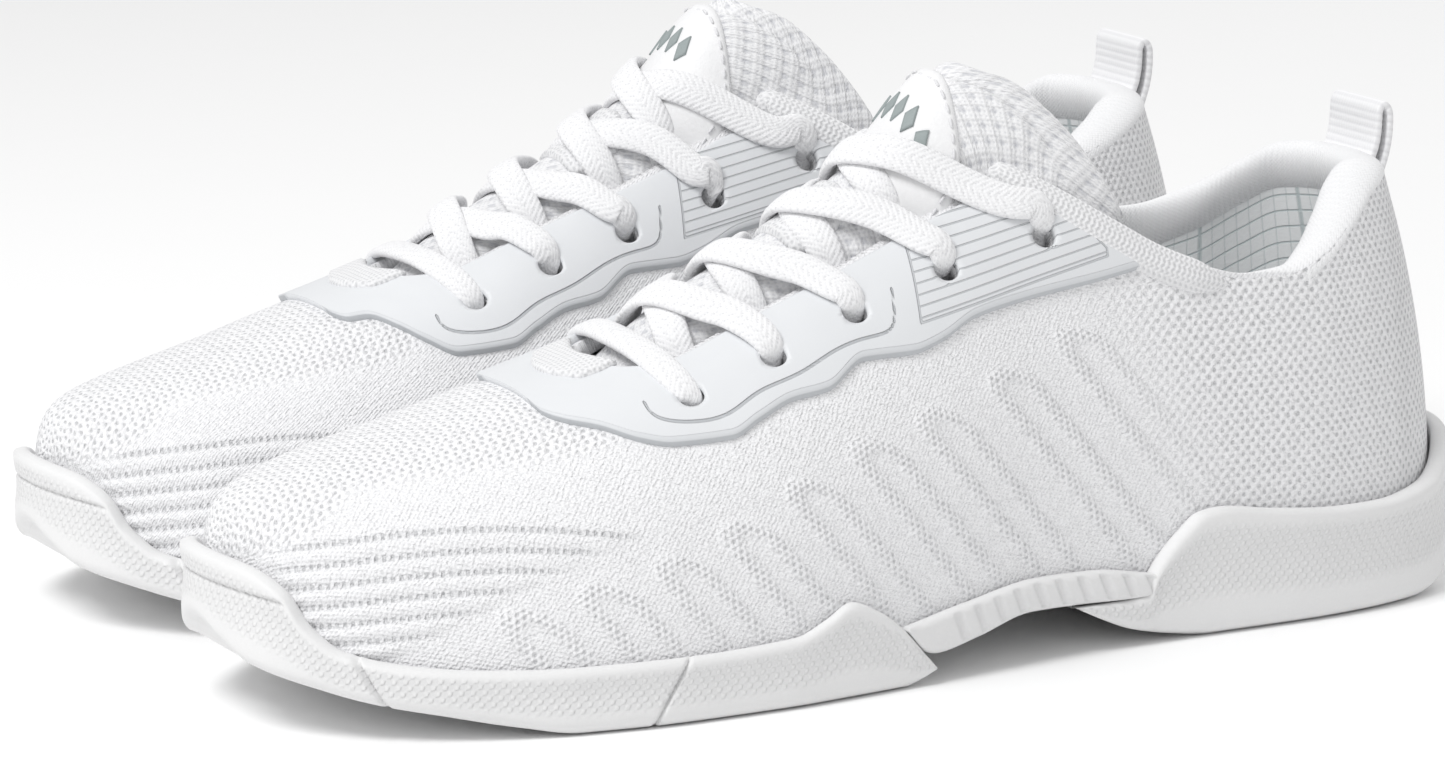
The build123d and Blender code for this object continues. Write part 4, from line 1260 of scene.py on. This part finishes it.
def outsoles(foot):
    def bumper(s, z, _):
        line = 26.8 - 0.22 * (262 - s)
        return 0.7 * np.exp(-((z - line) / 0.36) ** 2) * ramp(253, 254.5, s)

    extra = (np.arange(181, 196, 0.4), np.arange(234, 248, 0.4), np.arange(131.5, 150, 0.8),
             262 - np.linspace(0, 2.6, 40) ** 2.4)
    stations = stations_for(131.5, LENGTH, 0.0, 1.1, extra)
    front = pod(f"{foot}_forefoot_rubber", stations, BALL_TOP, BALL_BOTTOM, 3.5, bumper,
                slits=((TOE_FLEX_U, -0.62, 7.0), (TOE_GROOVE_U, 0.5, 10.0)))
    flex(front, foot, "outsole_toe outsole_ball")
    extra = (np.linspace(0, 2.6, 40) ** 2.4, np.arange(66, 98.2, 0.7))
    stations = stations_for(0.0, 98.2, 0.0, 1.1, extra)
    heel = pod(f"{foot}_heel_rubber", stations, HEEL_TOP, HEEL_BOTTOM, 4.0)
    fixed(heel, foot, "outsole_heel")

    def ribs(s, z, rise):
        phase = (s - 0.42 * (z - 9)) / 5.0
        return 0.75 * ramp(0.1, 0.9, np.cos(2 * math.pi * phase)) * ramp(0.05, 0.2, rise) * (
            1 - ramp(0.8, 0.95, rise)) * (1 - ramp(126, 130, s))

    bridge = pod(f"{foot}_arch_bridge", np.arange(80, 138.2, 0.5), SHANK_TOP, SHANK_BOTTOM,
                 2.4, ribs, texture=0.0, material=TPU)
    fixed(bridge, foot, "shank")


def bed(name, inset, low, high, material, crown=0.0):
    """Layer that follows the footbed inside the shoe."""
    stations = stations_for(0.6, LENGTH - 0.6, inset, 2.2)
    share = np.linspace(-1, 1, 33)
    x_mid, plus, minus = half_widths(stations, inset)
    half = np.where(share[None, :] > 0, plus[:, None], minus[:, None])
    x = x_mid[:, None] + half * share[None, :]
    u = np.repeat(place(stations, inset)[:, None], len(share), 1)
    base = smooth(FOOTBED, u)
    edge = np.minimum((1 - np.abs(share))[None, :] * np.minimum(plus, minus)[:, None],
                      np.minimum(stations, LENGTH - stations)[:, None])
    top = base + high - 0.8 * (1 - ramp(0, 2.0, edge)) + crown * (1 - ramp(2, 14, edge))
    bottom = base + low if not callable(low) else low(u)
    return sheet(name, np.stack([x, u, top], -1), np.stack([x, u, bottom], -1), grid_quads(*x.shape), material,
                 {"mm": triples(u, x, x)})


MIDSOLE_LOW = [(0, 4.1), (70, 4.1), (74.9, 4.3), (79, 11.5), (98, 11.9), (109, 12.1), (121, 9.8),
               (130, 7.8), (138.4, 7.6), (142, 3.9), (160, 3.8), (208, 3.8), (220, 6), (235, 9),
               (250, 13), (262, 16.2)]


def beds(foot):
    foam = bed(f"{foot}_midsole_foam", KNIT_OUT, lambda u: smooth(MIDSOLE_LOW, u), -0.3, FOAM)
    flex(foam, foot, "midsole")
    inside = KNIT_OUT + KNIT_THICK + 0.3
    board = bed(f"{foot}_lasting_board", inside, 0.1, 1.4, BOARD)
    flex(board, foot, "insole_board")
    liner = bed(f"{foot}_insole_pad", inside + 0.3, 1.5, 5.4, LINER, crown=0.7)
    flex(liner, foot, "insole")


# ---- Everything, for both shoes ----

for name in ("left", "right"):
    for build in (outsoles, beds, upper, overlay, throat_patch, collar, lining, bindings, tongue_pad,
                  tongue_patch, lace, pull_tab):
        build(name)
    for node, paint in (("toe_puff", STIFF), ("heel_counter", STIFF), ("aglets", AGLET)):
        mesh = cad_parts[f"{name}_{node}"].data
        mesh.materials.clear()
        mesh.materials.append(paint)


# ---- Floor, light and camera ----

def floor():
    mesh = bpy.data.meshes.new("studio_floor")
    reach = 6.0
    mesh.from_pydata([(-reach, -reach, 0), (reach, -reach, 0), (reach, reach, 0), (-reach, reach, 0)], [],
                     [(0, 1, 2, 3)])
    mesh.materials.append(FLOOR)
    obj = bpy.data.objects.new("studio_floor", mesh)
    obj.location.z = -0.0002
    bpy.context.scene.collection.objects.link(obj)


def area_light(name, location, target, size, energy):
    light = bpy.data.lights.new(name, "AREA")
    light.shape = "DISK"
    light.size = size
    light.energy = energy
    obj = bpy.data.objects.new(name, light)
    obj.location = location
    obj.rotation_euler = (Vector(target) - Vector(location)).to_track_quat("-Z", "Y").to_euler()
    bpy.context.scene.collection.objects.link(obj)


floor()
area_light("key", (0.30, -0.85, 1.20), (0, 0, 0.03), 0.6, 12.0)
area_light("rear_fill", (-0.5, 0.9, 1.1), (0, 0, 0.04), 0.9, 3.0)
world = bpy.data.worlds.new("studio_white")
world.use_nodes = True
world.node_tree.nodes["Background"].inputs["Color"].default_value = (1, 1, 1, 1)
world.node_tree.nodes["Background"].inputs["Strength"].default_value = 0.62
bpy.context.scene.world = world
bpy.context.scene.view_settings.view_transform = "Standard"

camera = bpy.data.objects.new("camera", bpy.data.cameras.new("camera"))
camera.data.lens = 164.9
camera.data.sensor_width = 36
camera.data.clip_start = 0.01
camera.data.clip_end = 50
right = Vector((0.43548, 0.90008, -0.01435))
up = Vector((-0.17449, 0.10004, 0.97956))
back = Vector((0.88312, -0.42408, 0.20063))
camera.matrix_world = Matrix((
    (right.x, up.x, back.x, 1.14961), (right.y, up.y, back.y, -0.55327), (right.z, up.z, back.z, 0.30270),
    (0, 0, 0, 1)))
bpy.context.scene.collection.objects.link(camera)
bpy.context.scene.camera = camera
